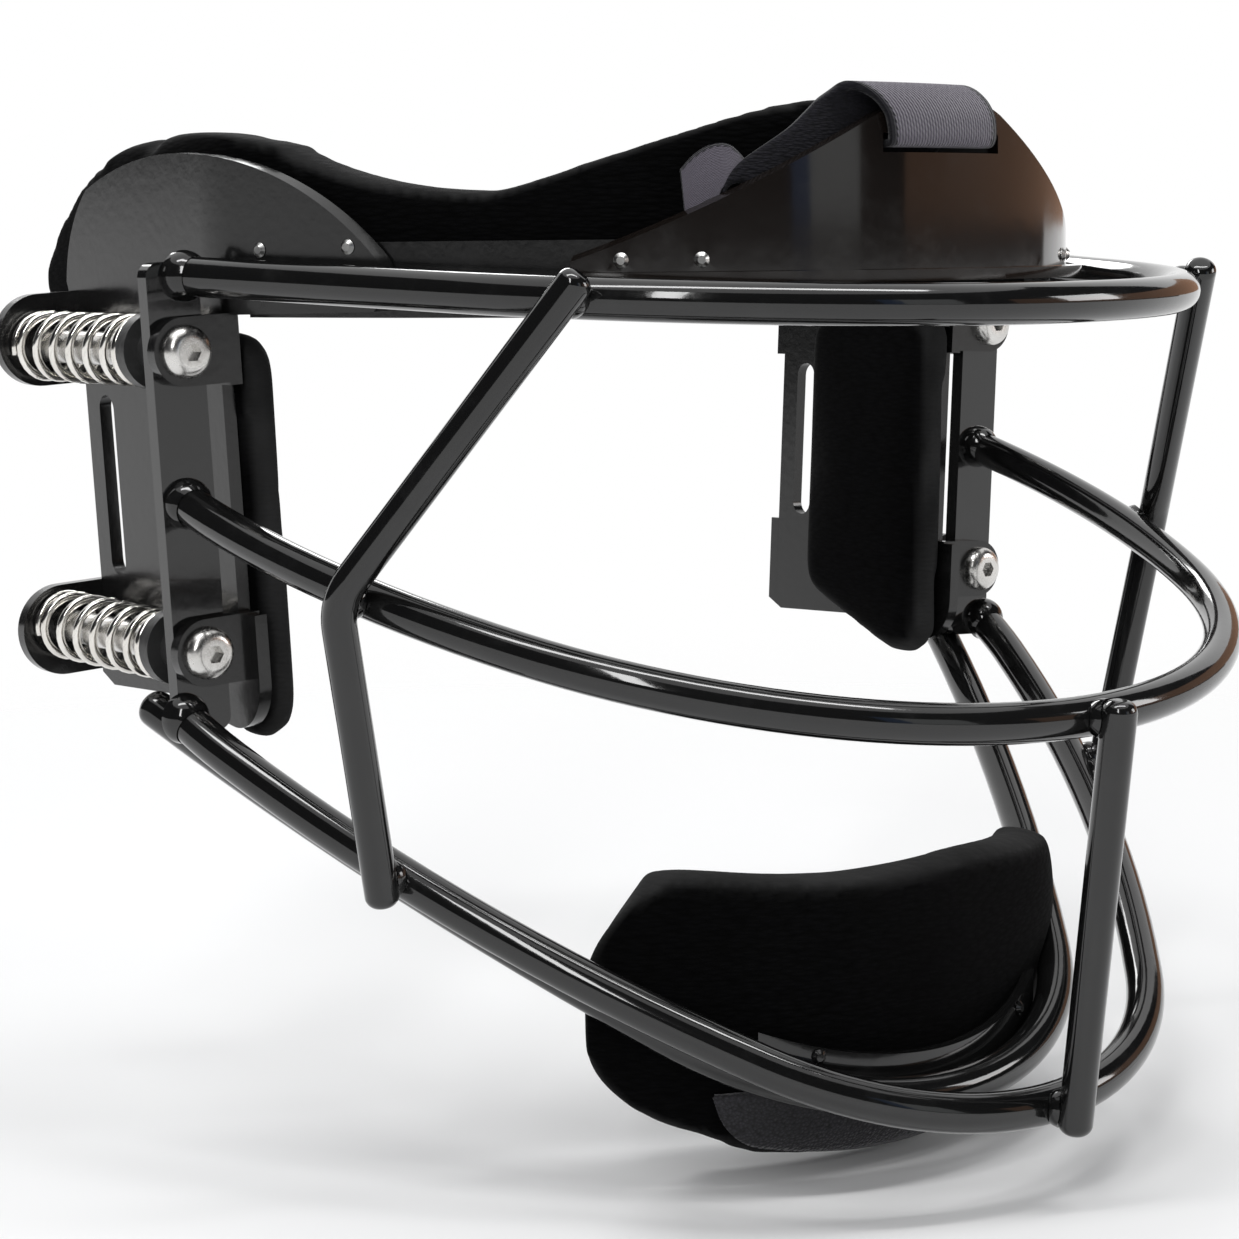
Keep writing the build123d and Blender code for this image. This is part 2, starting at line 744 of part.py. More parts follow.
def biarc_joint(start, start_way, end, end_way):
    """Joint of two arcs that leave the start and reach the end in the given directions."""
    gap = end - start
    both = start_way + end_way
    a = 2 * (1 - start_way.dot(end_way))
    b = 2 * gap.dot(both)
    c = -gap.dot(gap)
    reach = (-b + math.sqrt(b * b - 4 * a * c)) / (2 * a)
    return (start + end + (start_way - end_way) * reach) * 0.5


def wound_spring(point):
    """One spring round the guide at the given point."""
    places, directions = spring_nodes(point)
    with BuildLine() as wire:
        Line(places[0] - directions[0] * 2 * spring_wire_r, places[0])
        for index in range(spring_quarters):
            joint = biarc_joint(
                places[index], directions[index], places[index + 1], directions[index + 1]
            )
            first = TangentArc(places[index], joint, tangent=directions[index])
            TangentArc(joint, places[index + 1], tangent=first % 1)
        Line(places[-1], places[-1] + directions[-1] * 2 * spring_wire_r)
    path = wire.wire()
    with BuildPart() as spring:
        with BuildSketch(Plane(origin=path @ 0, z_dir=path % 0)):
            Circle(spring_wire_r)
        sweep(path=path)
    return spring.part, path


spring_names = ("right_upper_spring", "right_lower_spring", "left_upper_spring", "left_lower_spring")
for name, point in zip(spring_names, guide_points):
    spring_part, spring_path = wound_spring(point)
    keep(name, spring_part)
wire_area = math.pi * spring_wire_r**2
print("spring volume over section times length:", spring_part.volume / (wire_area * spring_path.length))

samples = 30 * spring_quarters
marks = [spring_path.position_at(index / samples) for index in range(samples + 1)]
apart = samples // 15
least = min(
    (marks[first] - marks[second]).length
    for first in range(0, samples + 1, 3)
    for second in range(first + apart, min(first + 8 * apart, samples + 1))
)
print("least gap of a spring's wire to itself:", round(least - 2 * spring_wire_r, 3))

# Side strip of the cage: it slides on the two sleeves of its side
with BuildPart() as side_strip:
    with BuildSketch(face_plane):
        with BuildLine():
            Polyline(
                (-strip_wide / 2, strip_top),
                (-strip_wide / 2, -strip_foot),
                (strip_wide / 2, -strip_foot),
                (strip_wide / 2, strip_top),
                close=True,
            )
        make_face()
        fillet(vertices(), strip_corner)
        with Locations((0, guide_local), (0, -guide_local)):
            Circle(sleeve_r + running_gap, mode=Mode.SUBTRACT)
    extrude(amount=strip_thick)
keep_pair("side_strip", side_strip.part)


def bar_plane(rear, level, tilt):
    """Plane in which a bar is bent: x to the left side, y forwards and down by the tilt."""
    slope = math.radians(tilt)
    return Plane(origin=(0, rear, level), x_dir=(1, 0, 0), z_dir=(0, math.sin(slope), -math.cos(slope)))


def bar_path(plane, half, start, arcs, front_r, lead):
    """Centre line of a bar bent from one side to the other, with (radius, turn) arcs on each
    side of its front arc, or straight legs where the front radius is given. The lead makes
    both ends longer."""
    way = (math.sin(math.radians(start)), math.cos(math.radians(start)))
    x = -half
    turned = start
    for radius, turn in arcs:
        x += radius * (math.cos(math.radians(turned)) - math.cos(math.radians(turn)))
        turned = turn
    radius_front = front_r if front_r else -x / math.cos(math.radians(turned))
    leg = (-x - radius_front * math.cos(math.radians(turned))) / math.sin(math.radians(turned))
    with BuildLine(plane) as path:
        last = Line((-half - lead * way[0], -lead * way[1]), (-half, 0))
        before = start
        for radius, turn in arcs:
            last = JernArc(last @ 1, last % 1, radius, before - turn)
            before = turn
        if front_r:
            last = PolarLine(last @ 1, leg, direction=last % 1)
        last = JernArc(last @ 1, last % 1, radius_front, 2 * before - 180)
        if front_r:
            last = PolarLine(last @ 1, leg, direction=last % 1)
        for radius, turn in reversed(arcs):
            after = start if (radius, turn) == arcs[0] else arcs[arcs.index((radius, turn)) - 1][1]
            last = JernArc(last @ 1, last % 1, radius, after - turn)
        Line(last @ 1, (last @ 1) + (last % 1) * lead)
    return path.wire()


def flush_bar(path, radius):
    """Round rod along a path, cut flush with the strips' front faces."""
    with BuildPart() as bar:
        with BuildSketch(Plane(origin=path @ 0, z_dir=path % 0)):
            Circle(radius)
        sweep(path=path)
        split(bisect_by=Plane.XZ, keep=Keep.TOP)
    return bar.part


def free_bar(path, radius):
    """Round rod along a path with rounded ends."""
    with BuildPart() as bar:
        with BuildSketch(Plane(origin=path @ 0, z_dir=path % 0)):
            Circle(radius)
        sweep(path=path)
        rims = [
            face.edges()[0]
            for face in bar.faces().filter_by(GeomType.PLANE)
        ]
        fillet(rims, radius * rod_end_share)
    return bar.part


top_path = bar_path(bar_plane(0, top_level, top_tilt), top_half, top_turn, [], top_front_r, rod_r)
middle_path = bar_path(
    bar_plane(0, middle_level, middle_tilt), middle_half, middle_start, [(middle_side_r, middle_turn)], 0, rod_r
)
lower_path = bar_path(
    bar_plane(0, lower_level, lower_tilt),
    lower_half,
    lower_start,
    [(lower_bend_r, lower_bend_turn), (lower_side_r, lower_turn)],
    0,
    rod_r,
)
chin_path = bar_path(
    bar_plane(chin_rear, chin_level, chin_tilt), chin_half, chin_start, [(chin_side_r, chin_turn)], 0, rod_r
)
top_bar = flush_bar(top_path, rod_r)
middle_bar = flush_bar(middle_path, rod_r)
lower_bar = flush_bar(lower_path, rod_r)
chin_bar = free_bar(chin_path, rod_r)
for name, bar in (
    ("top_bar", top_bar),
    ("middle_bar", middle_bar),
    ("lower_outer_bar", lower_bar),
    ("chin_bar", chin_bar),
):
    keep(name, bar)


def outside(path, share, reach):
    """Point so far outside a bar's centre line, level with it, at a share of its length."""
    centre = path.position_at(share)
    way = path.tangent_at(share)
    side = Vector(way.Y, -way.X, 0).normalized()
    if side.dot(Vector(centre.X, centre.Y, 0)) < 0:
        side = side * -1
    return centre + side * reach


# Brace rods: bent once, welded to the outer sides of top, middle and lower bar
brace_reach = rod_r + brace_r + weld_gap
brace_top = outside(top_path, brace_top_share, brace_reach)
brace_knee = outside(middle_path, brace_middle_share, brace_reach + brace_bend_ease)
brace_low = outside(lower_path, brace_low_share, brace_reach)
with BuildLine() as brace_line:
    FilletPolyline(
        brace_top + (brace_top - brace_knee).normalized() * brace_over_top,
        brace_knee,
        brace_low + (brace_low - brace_knee).normalized() * brace_over_low,
        radius=brace_bend_r,
    )
brace = free_bar(brace_line.wire(), brace_r)
keep_pair("diagonal_bar", brace)

# Centre rod between middle and lower bar
centre_top = outside(middle_path, 0.5, brace_reach)
centre_low = outside(lower_path, 0.5, brace_reach)
centre_way = (centre_top - centre_low).normalized()
with BuildLine() as centre_line:
    Line(centre_top + centre_way * centre_over_top, centre_low - centre_way * centre_over_low)
centre_bar = free_bar(centre_line.wire(), brace_r)
keep("centre_bar", centre_bar)

# Welds: beads where the rods cross and where the bars meet the strips, cut clear of the rods
def rod_room(centre, way, radius):
    """Straight room for a rod that runs through a weld bead."""
    with BuildPart(mode=Mode.PRIVATE) as room:
        with BuildSketch(Plane(origin=centre, z_dir=way)):
            Circle(radius + weld_ease)
        extrude(amount=weld_room, both=True)
    return room.part


def crossing_bead(path, share, brace_way, ease):
    """Bead round the spot where a brace rod lies on the outer side of a bar."""
    touch = outside(path, share, rod_r + weld_gap / 2)
    with BuildPart(mode=Mode.PRIVATE) as bead:
        with Locations(Plane(origin=touch, z_dir=touch - path.position_at(share))):
            Sphere(weld_r)
        add(rod_room(path.position_at(share), path.tangent_at(share), rod_r), mode=Mode.SUBTRACT)
        add(rod_room(outside(path, share, brace_reach), brace_way, brace_r + ease), mode=Mode.SUBTRACT)
    return bead.part


brace_upper_way = (brace_top - brace_knee).normalized()
brace_lower_way = (brace_knee - brace_low).normalized()
with BuildPart() as side_welds:
    for path, share, way, ease in (
        (top_path, brace_top_share, brace_upper_way, 0),
        (middle_path, brace_middle_share, (brace_upper_way + brace_lower_way).normalized(), weld_knee_ease),
        (lower_path, brace_low_share, brace_lower_way, 0),
    ):
        add(crossing_bead(path, share, way, ease))
    for path in (top_path, middle_path, lower_path):
        foot = path @ 0 + (path % 0) * rod_r
        with BuildPart(mode=Mode.PRIVATE) as bead:
            with Locations(Plane(origin=foot, z_dir=path % 0)):
                Sphere(end_weld_r)
            split(bisect_by=Plane.XZ, keep=Keep.TOP)
            add(rod_room(foot, path % 0, rod_r), mode=Mode.SUBTRACT)
        add(bead.part)
    mirror(about=Plane.YZ)
with BuildPart() as cage_welds:
    add(side_welds.part)
    for path in (middle_path, lower_path):
        add(crossing_bead(path, 0.5, centre_way, 0))
keep("cage_welds", cage_welds.part)

# Chin plate: thin crescent behind the chin bar, with two rivets
plate_reach = -rod_r - running_gap
with BuildPart() as chin_plate:
    with BuildSketch(Plane.XY.offset(chin_level - chin_plate_room)):
        with BuildLine():
            sides = []
            for reach in (plate_reach, plate_reach - chin_plate_thick):
                right_end = outside(chin_path, chin_plate_share, reach)
                middle = outside(chin_path, 0.5, reach)
                ThreePointArc(
                    (right_end.X, right_end.Y), (0, middle.Y), (-right_end.X, right_end.Y)
                )
                sides.append(right_end)
            Line((sides[0].X, sides[0].Y), (sides[1].X, sides[1].Y))
            Line((-sides[0].X, sides[0].Y), (-sides[1].X, sides[1].Y))
        make_face()
    extrude(amount=chin_plate_room)
    with BuildSketch(Plane.XZ):
        with BuildLine():
            end = sides[0]
            upper = ThreePointArc(
                (end.X, end.Z + chin_plate_rise),
                (0, middle.Z + chin_plate_rise),
                (-end.X, end.Z + chin_plate_rise),
            )
            under = ThreePointArc(
                (end.X, end.Z - chin_plate_drop),
                (0, middle.Z - chin_plate_drop),
                (-end.X, end.Z - chin_plate_drop),
            )
            Line(upper @ 0, under @ 0)
            Line(upper @ 1, under @ 1)
        make_face()
    extrude(amount=-2 * middle.Y, mode=Mode.INTERSECT)
    for side in (-1, 1):
        seat = outside(chin_path, chin_rivet_share, plate_reach)
        rivet_place = Vector(side * seat.X, seat.Y, seat.Z + chin_rivet_rise)
        back = Vector(-side * seat.X, -seat.Y - chin_pad_centre, 0)
        with BuildSketch(Plane(origin=rivet_place, z_dir=back)):
            Circle(chin_rivet_r + running_gap)
        extrude(amount=2 * chin_plate_thick, both=True, mode=Mode.SUBTRACT)
keep("chin_plate", chin_plate.part)

with BuildPart() as chin_rivets:
    for side in (-1, 1):
        rivet_place = Vector(side * seat.X, seat.Y, seat.Z + chin_rivet_rise)
        back = Vector(-side * seat.X, -seat.Y - chin_pad_centre, 0)
        rivet_plane = Plane(origin=rivet_place, z_dir=back)
        with BuildSketch(rivet_plane.offset(-rivet_seat_gap)):
            Circle(chin_rivet_r)
        extrude(amount=chin_plate_thick + rivet_seat_gap)
        with BuildSketch(Plane(origin=rivet_place, z_dir=back * -1).offset(rivet_seat_gap)):
            Circle(chin_rivet_head_r)
        extrude(amount=rivet_dome, taper=45)
keep("chin_rivets", chin_rivets.part)

# Chin pad: a foam cup with a bellied front that closes in under the chin
chin_axis = Axis((0, -chin_pad_centre, 0), (0, 0, 1))
chin_swing = math.degrees(math.asin(chin_pad_share * chin_pad_half / chin_pad_r))
chin_angle = math.radians(270 - chin_swing)
chin_section = Plane(
    origin=(0, -chin_pad_centre, 0),
    x_dir=(math.cos(chin_angle), math.sin(chin_angle), 0),
    z_dir=(math.sin(chin_angle), -math.cos(chin_angle), 0),
)
pad_high = chin_pad_top - chin_pad_foot
with BuildSketch() as chin_profile:
    with BuildLine():
        face = ThreePointArc(
            (chin_pad_r - chin_pad_thick * 0.22, chin_pad_top - pad_high * 0.03),
            (chin_pad_r, chin_pad_foot + pad_high * 0.5),
            (chin_pad_r - chin_pad_thick * 0.2, chin_pad_foot + pad_high * 0.2),
        )
        toe = ThreePointArc(
            face @ 1,
            (chin_pad_r - chin_pad_thick * 0.47, chin_pad_foot + pad_high * 0.07),
            (chin_pad_r - chin_pad_thick * 0.95, chin_pad_foot),
        )
        sole = Line(toe @ 1, (chin_pad_r - chin_pad_thick * 1.6, chin_pad_foot + pad_high * 0.1))
        back = ThreePointArc(
            sole @ 1,
            (chin_pad_r - chin_pad_thick * 1.05, chin_pad_foot + pad_high * 0.45),
            (chin_pad_r - chin_pad_thick * 1.1, chin_pad_top - pad_high * 0.04),
        )
        ThreePointArc(back @ 1, (chin_pad_r - chin_pad_thick * 0.65, chin_pad_top), face @ 0)
    make_face()
with BuildPart() as chin_pad:
    with BuildSketch(chin_section):
        add(chin_profile.sketch)
    revolve(axis=chin_axis, revolution_arc=2 * chin_swing)
    with BuildSketch(Plane.XZ):
        with BuildLine():
            Polyline(
                (chin_pad_half, chin_pad_end_foot),
                (chin_pad_half, chin_pad_top),
                (-chin_pad_half, chin_pad_top),
                (-chin_pad_half, chin_pad_end_foot),
            )
            ThreePointArc(
                (-chin_pad_half, chin_pad_end_foot), (0, chin_pad_foot), (chin_pad_half, chin_pad_end_foot)
            )
        make_face()
        fillet(vertices(), chin_pad_corner)
    extrude(amount=chin_pad_centre + chin_pad_r + cut_extra, mode=Mode.INTERSECT)
keep("chin_pad", chin_pad.part)

# Flap: thin fabric tab on the lower front of the chin pad
def off_toe(share, reach):
    """Point so far outside the curled foot of the chin pad's section."""
    point = toe @ share
    return point + (point - toe.arc_center).normalized() * reach


flap_out = flap_gap + flap_thick
flap_top_r = chin_pad_r - chin_pad_thick * 0.08
with BuildPart() as chin_pad_flap:
    with BuildSketch(chin_section):
        with BuildLine():
            Line((flap_top_r + flap_gap, flap_top), off_toe(0, flap_gap))
            ThreePointArc(off_toe(0, flap_gap), off_toe(0.45, flap_gap), off_toe(0.9, flap_gap))
            Line(off_toe(0.9, flap_gap), off_toe(0.9, flap_out))
            ThreePointArc(off_toe(0.9, flap_out), off_toe(0.45, flap_out), off_toe(0, flap_out))
            Line(off_toe(0, flap_out), (flap_top_r + flap_out, flap_top))
            Line((flap_top_r + flap_out, flap_top), (flap_top_r + flap_gap, flap_top))
        make_face()
    revolve(axis=chin_axis, revolution_arc=2 * chin_swing)
    with BuildSketch(Plane.XZ.offset(chin_pad_centre)):
        with BuildLine():
            Polyline(
                (flap_half, flap_end_foot),
                (flap_half, flap_top),
                (-flap_half, flap_top),
                (-flap_half, flap_end_foot),
            )
            ThreePointArc(
                (-flap_half, flap_end_foot), (0, flap_foot), (flap_half, flap_end_foot)
            )
        make_face()
        fillet(vertices(), flap_corner)
    extrude(amount=chin_pad_r + cut_extra, mode=Mode.INTERSECT)
keep("chin_pad_flap", chin_pad_flap.part)
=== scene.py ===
# %% [markdown]
# # A softball face guard
#
# A cage of bent steel rods, black and glossy, slides on four sprung guide screws in front of a
# padded harness. The CAD frame gives every hard piece its place and size. This script gives
# the pieces their finishes, and models again what a solid can't show: foam pads, elastic
# strap and wound springs. Everything is in metres, in the frame's own axes: +Z up, the face of
# the guard towards -Y, and the wearer's right side at -X.

import math

import bmesh
import bpy
from mathutils import Matrix, Vector


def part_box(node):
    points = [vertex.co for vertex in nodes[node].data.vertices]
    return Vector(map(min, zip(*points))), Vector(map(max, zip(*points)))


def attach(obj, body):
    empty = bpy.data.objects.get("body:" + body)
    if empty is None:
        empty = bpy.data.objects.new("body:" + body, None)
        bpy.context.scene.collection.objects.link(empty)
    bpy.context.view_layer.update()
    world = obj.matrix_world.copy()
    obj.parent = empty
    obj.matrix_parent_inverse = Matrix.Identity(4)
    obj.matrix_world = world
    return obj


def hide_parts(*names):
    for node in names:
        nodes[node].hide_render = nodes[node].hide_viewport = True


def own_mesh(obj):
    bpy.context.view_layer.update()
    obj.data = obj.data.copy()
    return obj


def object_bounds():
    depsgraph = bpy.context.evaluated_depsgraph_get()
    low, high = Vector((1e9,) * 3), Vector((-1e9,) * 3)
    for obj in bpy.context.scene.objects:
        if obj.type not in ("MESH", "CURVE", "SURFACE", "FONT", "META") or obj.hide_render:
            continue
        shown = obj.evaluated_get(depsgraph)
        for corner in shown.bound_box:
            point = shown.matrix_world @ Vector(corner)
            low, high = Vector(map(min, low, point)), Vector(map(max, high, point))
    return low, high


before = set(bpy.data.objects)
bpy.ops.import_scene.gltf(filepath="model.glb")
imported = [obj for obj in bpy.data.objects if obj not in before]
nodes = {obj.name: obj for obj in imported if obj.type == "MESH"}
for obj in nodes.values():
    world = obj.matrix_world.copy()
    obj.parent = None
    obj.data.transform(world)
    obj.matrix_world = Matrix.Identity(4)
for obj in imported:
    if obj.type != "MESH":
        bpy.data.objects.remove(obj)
cad_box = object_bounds()
mm = 0.001
print("CAD box", [[round(x, 4) for x in corner] for corner in cad_box])

# %% [markdown]
# ## Camera
#
# The camera was worked out from the curves of the bars in the photograph. It stands a little
# above the guard's middle, off its front right corner, and looks slightly down. A long lens
# keeps the near and the far side of the cage close in size. The camera's own axes are set
# straight from that direction, because aiming it by hand would lose the small roll.

# %% Camera
photo_width = 1239  # pixels
focal_length = 2873.8  # pixels
camera_place = Vector((-354.5, -445.3, 44.7)) * mm
view_azimuth = math.radians(-38.39)
view_elevation = math.radians(7.44)
view_roll = math.radians(-0.58)
forward = Vector(
    (
        -math.sin(view_azimuth) * math.cos(view_elevation),
        math.cos(view_azimuth) * math.cos(view_elevation),
        -math.sin(view_elevation),
    )
)
level_right = Vector((math.cos(view_azimuth), math.sin(view_azimuth), 0))
level_up = level_right.cross(forward)
camera_right = level_right * math.cos(view_roll) + level_up * math.sin(view_roll)
camera_up = level_up * math.cos(view_roll) - level_right * math.sin(view_roll)
lens_data = bpy.data.cameras.new("photo_camera")
lens_data.sensor_width = 36
lens_data.sensor_fit = "HORIZONTAL"
lens_data.lens = focal_length * lens_data.sensor_width / photo_width
lens_data.clip_start = 0.01
camera = bpy.data.objects.new("photo_camera", lens_data)
turn = Matrix((camera_right, camera_up, -forward)).transposed().to_4x4()
camera.matrix_world = Matrix.Translation(camera_place) @ turn
bpy.context.scene.collection.objects.link(camera)
bpy.context.scene.camera = camera
print("lens", round(lens_data.lens, 2), "mm")

# %% [markdown]
# ## Light
#
# Black gloss paint shows almost nothing of its own colour: what makes it look round is the
# reflection of the lamps. Long narrow softboxes give the thin bright lines that run along the
# rods. The world adds an even pale fill, and is plain white where it is seen or mirrored.


# %% Softboxes
def softbox(name, place, target, size_x, size_y, power):
    """An area lamp that looks at a point."""
    data = bpy.data.lights.new(name, "AREA")
    data.shape = "RECTANGLE"
    data.size, data.size_y = size_x, size_y
    data.energy = power
    lamp = bpy.data.objects.new(name, data)
    lamp.location = place
    lamp.rotation_euler = (Vector(target) - Vector(place)).to_track_quat("-Z", "Y").to_euler()
    bpy.context.scene.collection.objects.link(lamp)
    print(name, power, "W")


guard_middle = (0, -0.03, -0.02)
softbox("overhead_strip", (-0.1, -0.25, 1.05), guard_middle, 1.1, 0.16, 7.0)
softbox("front_left_strip", (-0.95, -0.75, 0.75), guard_middle, 0.16, 0.8, 5.5)
softbox("right_box", (0.95, -0.75, 0.35), guard_middle, 0.4, 0.4, 3.0)
softbox("rear_box", (0.35, 0.95, 0.7), guard_middle, 0.7, 0.25, 4.5)

# %% World
world = bpy.data.worlds.new("studio")
bpy.context.scene.world = world
world.use_nodes = True
sky = world.node_tree
sky.nodes.clear()
sky_out = sky.nodes.new("ShaderNodeOutputWorld")
seen = sky.nodes.new("ShaderNodeBackground")
fill = sky.nodes.new("ShaderNodeBackground")
seen.inputs["Color"].default_value = (1, 1, 1, 1)
fill.inputs["Color"].default_value = (0.97, 0.98, 1, 1)
fill.inputs["Strength"].default_value = 0.45
ray = sky.nodes.new("ShaderNodeLightPath")
mirrored = sky.nodes.new("ShaderNodeMath")
mirrored.operation = "MAXIMUM"
either = sky.nodes.new("ShaderNodeMath")
either.operation = "MAXIMUM"
pick = sky.nodes.new("ShaderNodeMixShader")
sky.links.new(ray.outputs["Is Glossy Ray"], mirrored.inputs[0])
sky.links.new(ray.outputs["Is Transmission Ray"], mirrored.inputs[1])
sky.links.new(ray.outputs["Is Camera Ray"], either.inputs[0])
sky.links.new(mirrored.outputs[0], either.inputs[1])
sky.links.new(either.outputs[0], pick.inputs[0])
sky.links.new(fill.outputs[0], pick.inputs[1])
sky.links.new(seen.outputs[0], pick.inputs[2])
sky.links.new(pick.outputs[0], sky_out.inputs["Surface"])
bpy.context.scene.view_settings.view_transform = "Standard"
print("world fill", fill.inputs["Strength"].default_value)

# %% [markdown]
# Gloss black only looks black where it mirrors something dark. Dark flags stand round the
# guard, as they do in a photo studio. They show in reflections and nowhere else. Over them
# stays the bright sky, for the thin light line on top of each rod, and below them the pale
# floor gives each rod its grey underside. A warm wall to the right and a pale one in the
# middle put the brown glow and the soft upright streak on the forehead shell.

# %% Dark flags round the guard
def card_material(name, colour, strength):
    """A plain even card that only gives off its own colour."""
    material = bpy.data.materials.new(name)
    material.use_nodes = True
    tree = material.node_tree
    tree.nodes.clear()
    output = tree.nodes.new("ShaderNodeOutputMaterial")
    glow = tree.nodes.new("ShaderNodeEmission")
    glow.inputs["Color"].default_value = colour
    glow.inputs["Strength"].default_value = strength
    tree.links.new(glow.outputs["Emission"], output.inputs["Surface"])
    return material


def card(name, radius, first, last, low, high, material):
    """A curved card round the guard, seen only in reflections."""
    bm = bmesh.new()
    start = math.radians(first)
    sweep = math.radians(last - first)
    foot = bm.verts.new((radius * math.cos(start), radius * math.sin(start), low))
    bmesh.ops.spin(bm, geom=[foot], cent=(0, 0, 0), axis=(0, 0, 1), angle=sweep, steps=48)
    rise = bmesh.ops.extrude_edge_only(bm, edges=list(bm.edges))
    top = [v for v in rise["geom"] if isinstance(v, bmesh.types.BMVert)]
    bmesh.ops.translate(bm, vec=(0, 0, high - low), verts=top)
    mesh = bpy.data.meshes.new(name)
    bm.to_mesh(mesh)
    bm.free()
    wall = bpy.data.objects.new(name, mesh)
    bpy.context.scene.collection.objects.link(wall)
    wall.data.materials.append(material)
    wall.visible_camera = False
    wall.visible_diffuse = False
    wall.visible_shadow = False
    wall.visible_transmission = False
    wall.visible_volume_scatter = False
    print(name, "from", first, "to", last, "degrees")


dark_card = card_material("dark_card", (0.02, 0.02, 0.022, 1), 1.0)
warm_card = card_material("warm_card", (0.4, 0.23, 0.15, 1), 1.0)
pale_card = card_material("pale_card", (0.66, 0.68, 0.68, 1), 1.0)
blue_card = card_material("blue_card", (0.1, 0.17, 0.33, 1), 1.0)
card("dark_flag", 1.6, 110, 362, 0.02, 1.9, dark_card)
card("warm_wall", 1.5, 298, 385, 0.055, 0.5, warm_card)
card("pale_wall", 1.45, 270, 284, 0.055, 0.6, pale_card)
card("blue_wall", 1.45, 265, 270, 0.055, 0.6, blue_card)

# %% [markdown]
# ## Floor
#
# A pale disc just under the chin pad takes the soft shadow. It fades out towards its rim, so
# that no edge or horizon shows behind the guard.

# %% Floor disc
floor_radius = 1.2
floor_level = cad_box[0][2] - 0.0006
floor_mesh = bpy.data.meshes.new("floor")
bm = bmesh.new()
bmesh.ops.create_circle(bm, cap_ends=True, segments=64, radius=floor_radius)
bmesh.ops.translate(bm, vec=(0, 0, floor_level), verts=bm.verts)
bm.to_mesh(floor_mesh)
bm.free()
floor = bpy.data.objects.new("floor", floor_mesh)
bpy.context.scene.collection.objects.link(floor)

# %% Floor paint
pale = bpy.data.materials.new("pale_floor")
pale.use_nodes = True
tree = pale.node_tree
paint = tree.nodes["Principled BSDF"]
paint.inputs["Base Color"].default_value = (0.86, 0.86, 0.86, 1)
paint.inputs["Roughness"].default_value = 0.8
paint.inputs["Specular IOR Level"].default_value = 0.1
spot = tree.nodes.new("ShaderNodeTexCoord")
reach = tree.nodes.new("ShaderNodeVectorMath")
reach.operation = "LENGTH"
fade = tree.nodes.new("ShaderNodeMapRange")
fade.interpolation_type = "SMOOTHSTEP"
fade.inputs["From Min"].default_value = 0.18
fade.inputs["From Max"].default_value = 0.7
fade.inputs["To Min"].default_value = 1
fade.inputs["To Max"].default_value = 0
tree.links.new(spot.outputs["Object"], reach.inputs[0])
tree.links.new(reach.outputs["Value"], fade.inputs["Value"])
tree.links.new(fade.outputs["Result"], paint.inputs["Alpha"])
floor.data.materials.append(pale)
print("floor at", round(floor_level * 1000, 1), "mm")

# %% [markdown]
# ## Finishes
#
# Three effects come back in several materials, so each is a node group that is built once:
# the faint orange peel of powder coat, the hair-fine scratches of drawn metal, and the weave
# of the pad cloth. Each reads Object coordinates, so a pattern keeps its real size in
# millimetres on every piece.


# %% Helpers for node groups
def new_group(name, inputs):
    """An empty shader group that puts out a colour, a roughness and a normal."""
    group = bpy.data.node_groups.new(name, "ShaderNodeTree")
    for label, kind, value in inputs:
        socket = group.interface.new_socket(label, in_out="INPUT", socket_type=kind)
        socket.default_value = value
    for label, kind in (
        ("Colour", "NodeSocketColor"),
        ("Roughness", "NodeSocketFloat"),
        ("Normal", "NodeSocketVector"),
    ):
        group.interface.new_socket(label, in_out="OUTPUT", socket_type=kind)
    start = group.nodes.new("NodeGroupInput")
    end = group.nodes.new("NodeGroupOutput")
    print("group", name, "with", len(inputs), "inputs")
    return group, start, end


def math_node(group, operation, a, b=None, clamp=False):
    """A Math node whose inputs are sockets or plain numbers."""
    node = group.nodes.new("ShaderNodeMath")
    node.operation = operation
    node.use_clamp = clamp
    for index, value in enumerate((a, b)):
        if value is None:
            continue
        if hasattr(value, "is_linked"):
            group.links.new(value, node.inputs[index])
        else:
            node.inputs[index].default_value = value
    return node.outputs[0]


def mix_node(group, factor, a, b):
    """A colour Mix node whose colours are sockets or plain colours."""
    node = group.nodes.new("ShaderNodeMix")
    node.data_type = "RGBA"
    group.links.new(factor, node.inputs["Factor"])
    for label, value in (("A", a), ("B", b)):
        if hasattr(value, "is_linked"):
            group.links.new(value, node.inputs[label])
        else:
            node.inputs[label].default_value = value
    return node.outputs["Result"]


# %% Coat: orange peel and fine dust
coat_group, start, end = new_group(
    "coat_surface",
    [
        ("Colour", "NodeSocketColor", (0.01, 0.01, 0.01, 1)),
        ("Dust colour", "NodeSocketColor", (0.2, 0.2, 0.2, 1)),
        ("Dust", "NodeSocketFloat", 0.1),
        ("Roughness", "NodeSocketFloat", 0.15),
        ("Peel size", "NodeSocketFloat", 420.0),
        ("Peel depth", "NodeSocketFloat", 0.05),
    ],
)
g = coat_group
where = g.nodes.new("ShaderNodeTexCoord")
peel = g.nodes.new("ShaderNodeTexNoise")
peel.inputs["Detail"].default_value = 2
g.links.new(where.outputs["Object"], peel.inputs["Vector"])
g.links.new(start.outputs["Peel size"], peel.inputs["Scale"])
bump = g.nodes.new("ShaderNodeBump")
bump.inputs["Distance"].default_value = 0.0004
g.links.new(start.outputs["Peel depth"], bump.inputs["Strength"])
g.links.new(peel.outputs["Fac"], bump.inputs["Height"])
specks = g.nodes.new("ShaderNodeTexNoise")
specks.inputs["Scale"].default_value = 95
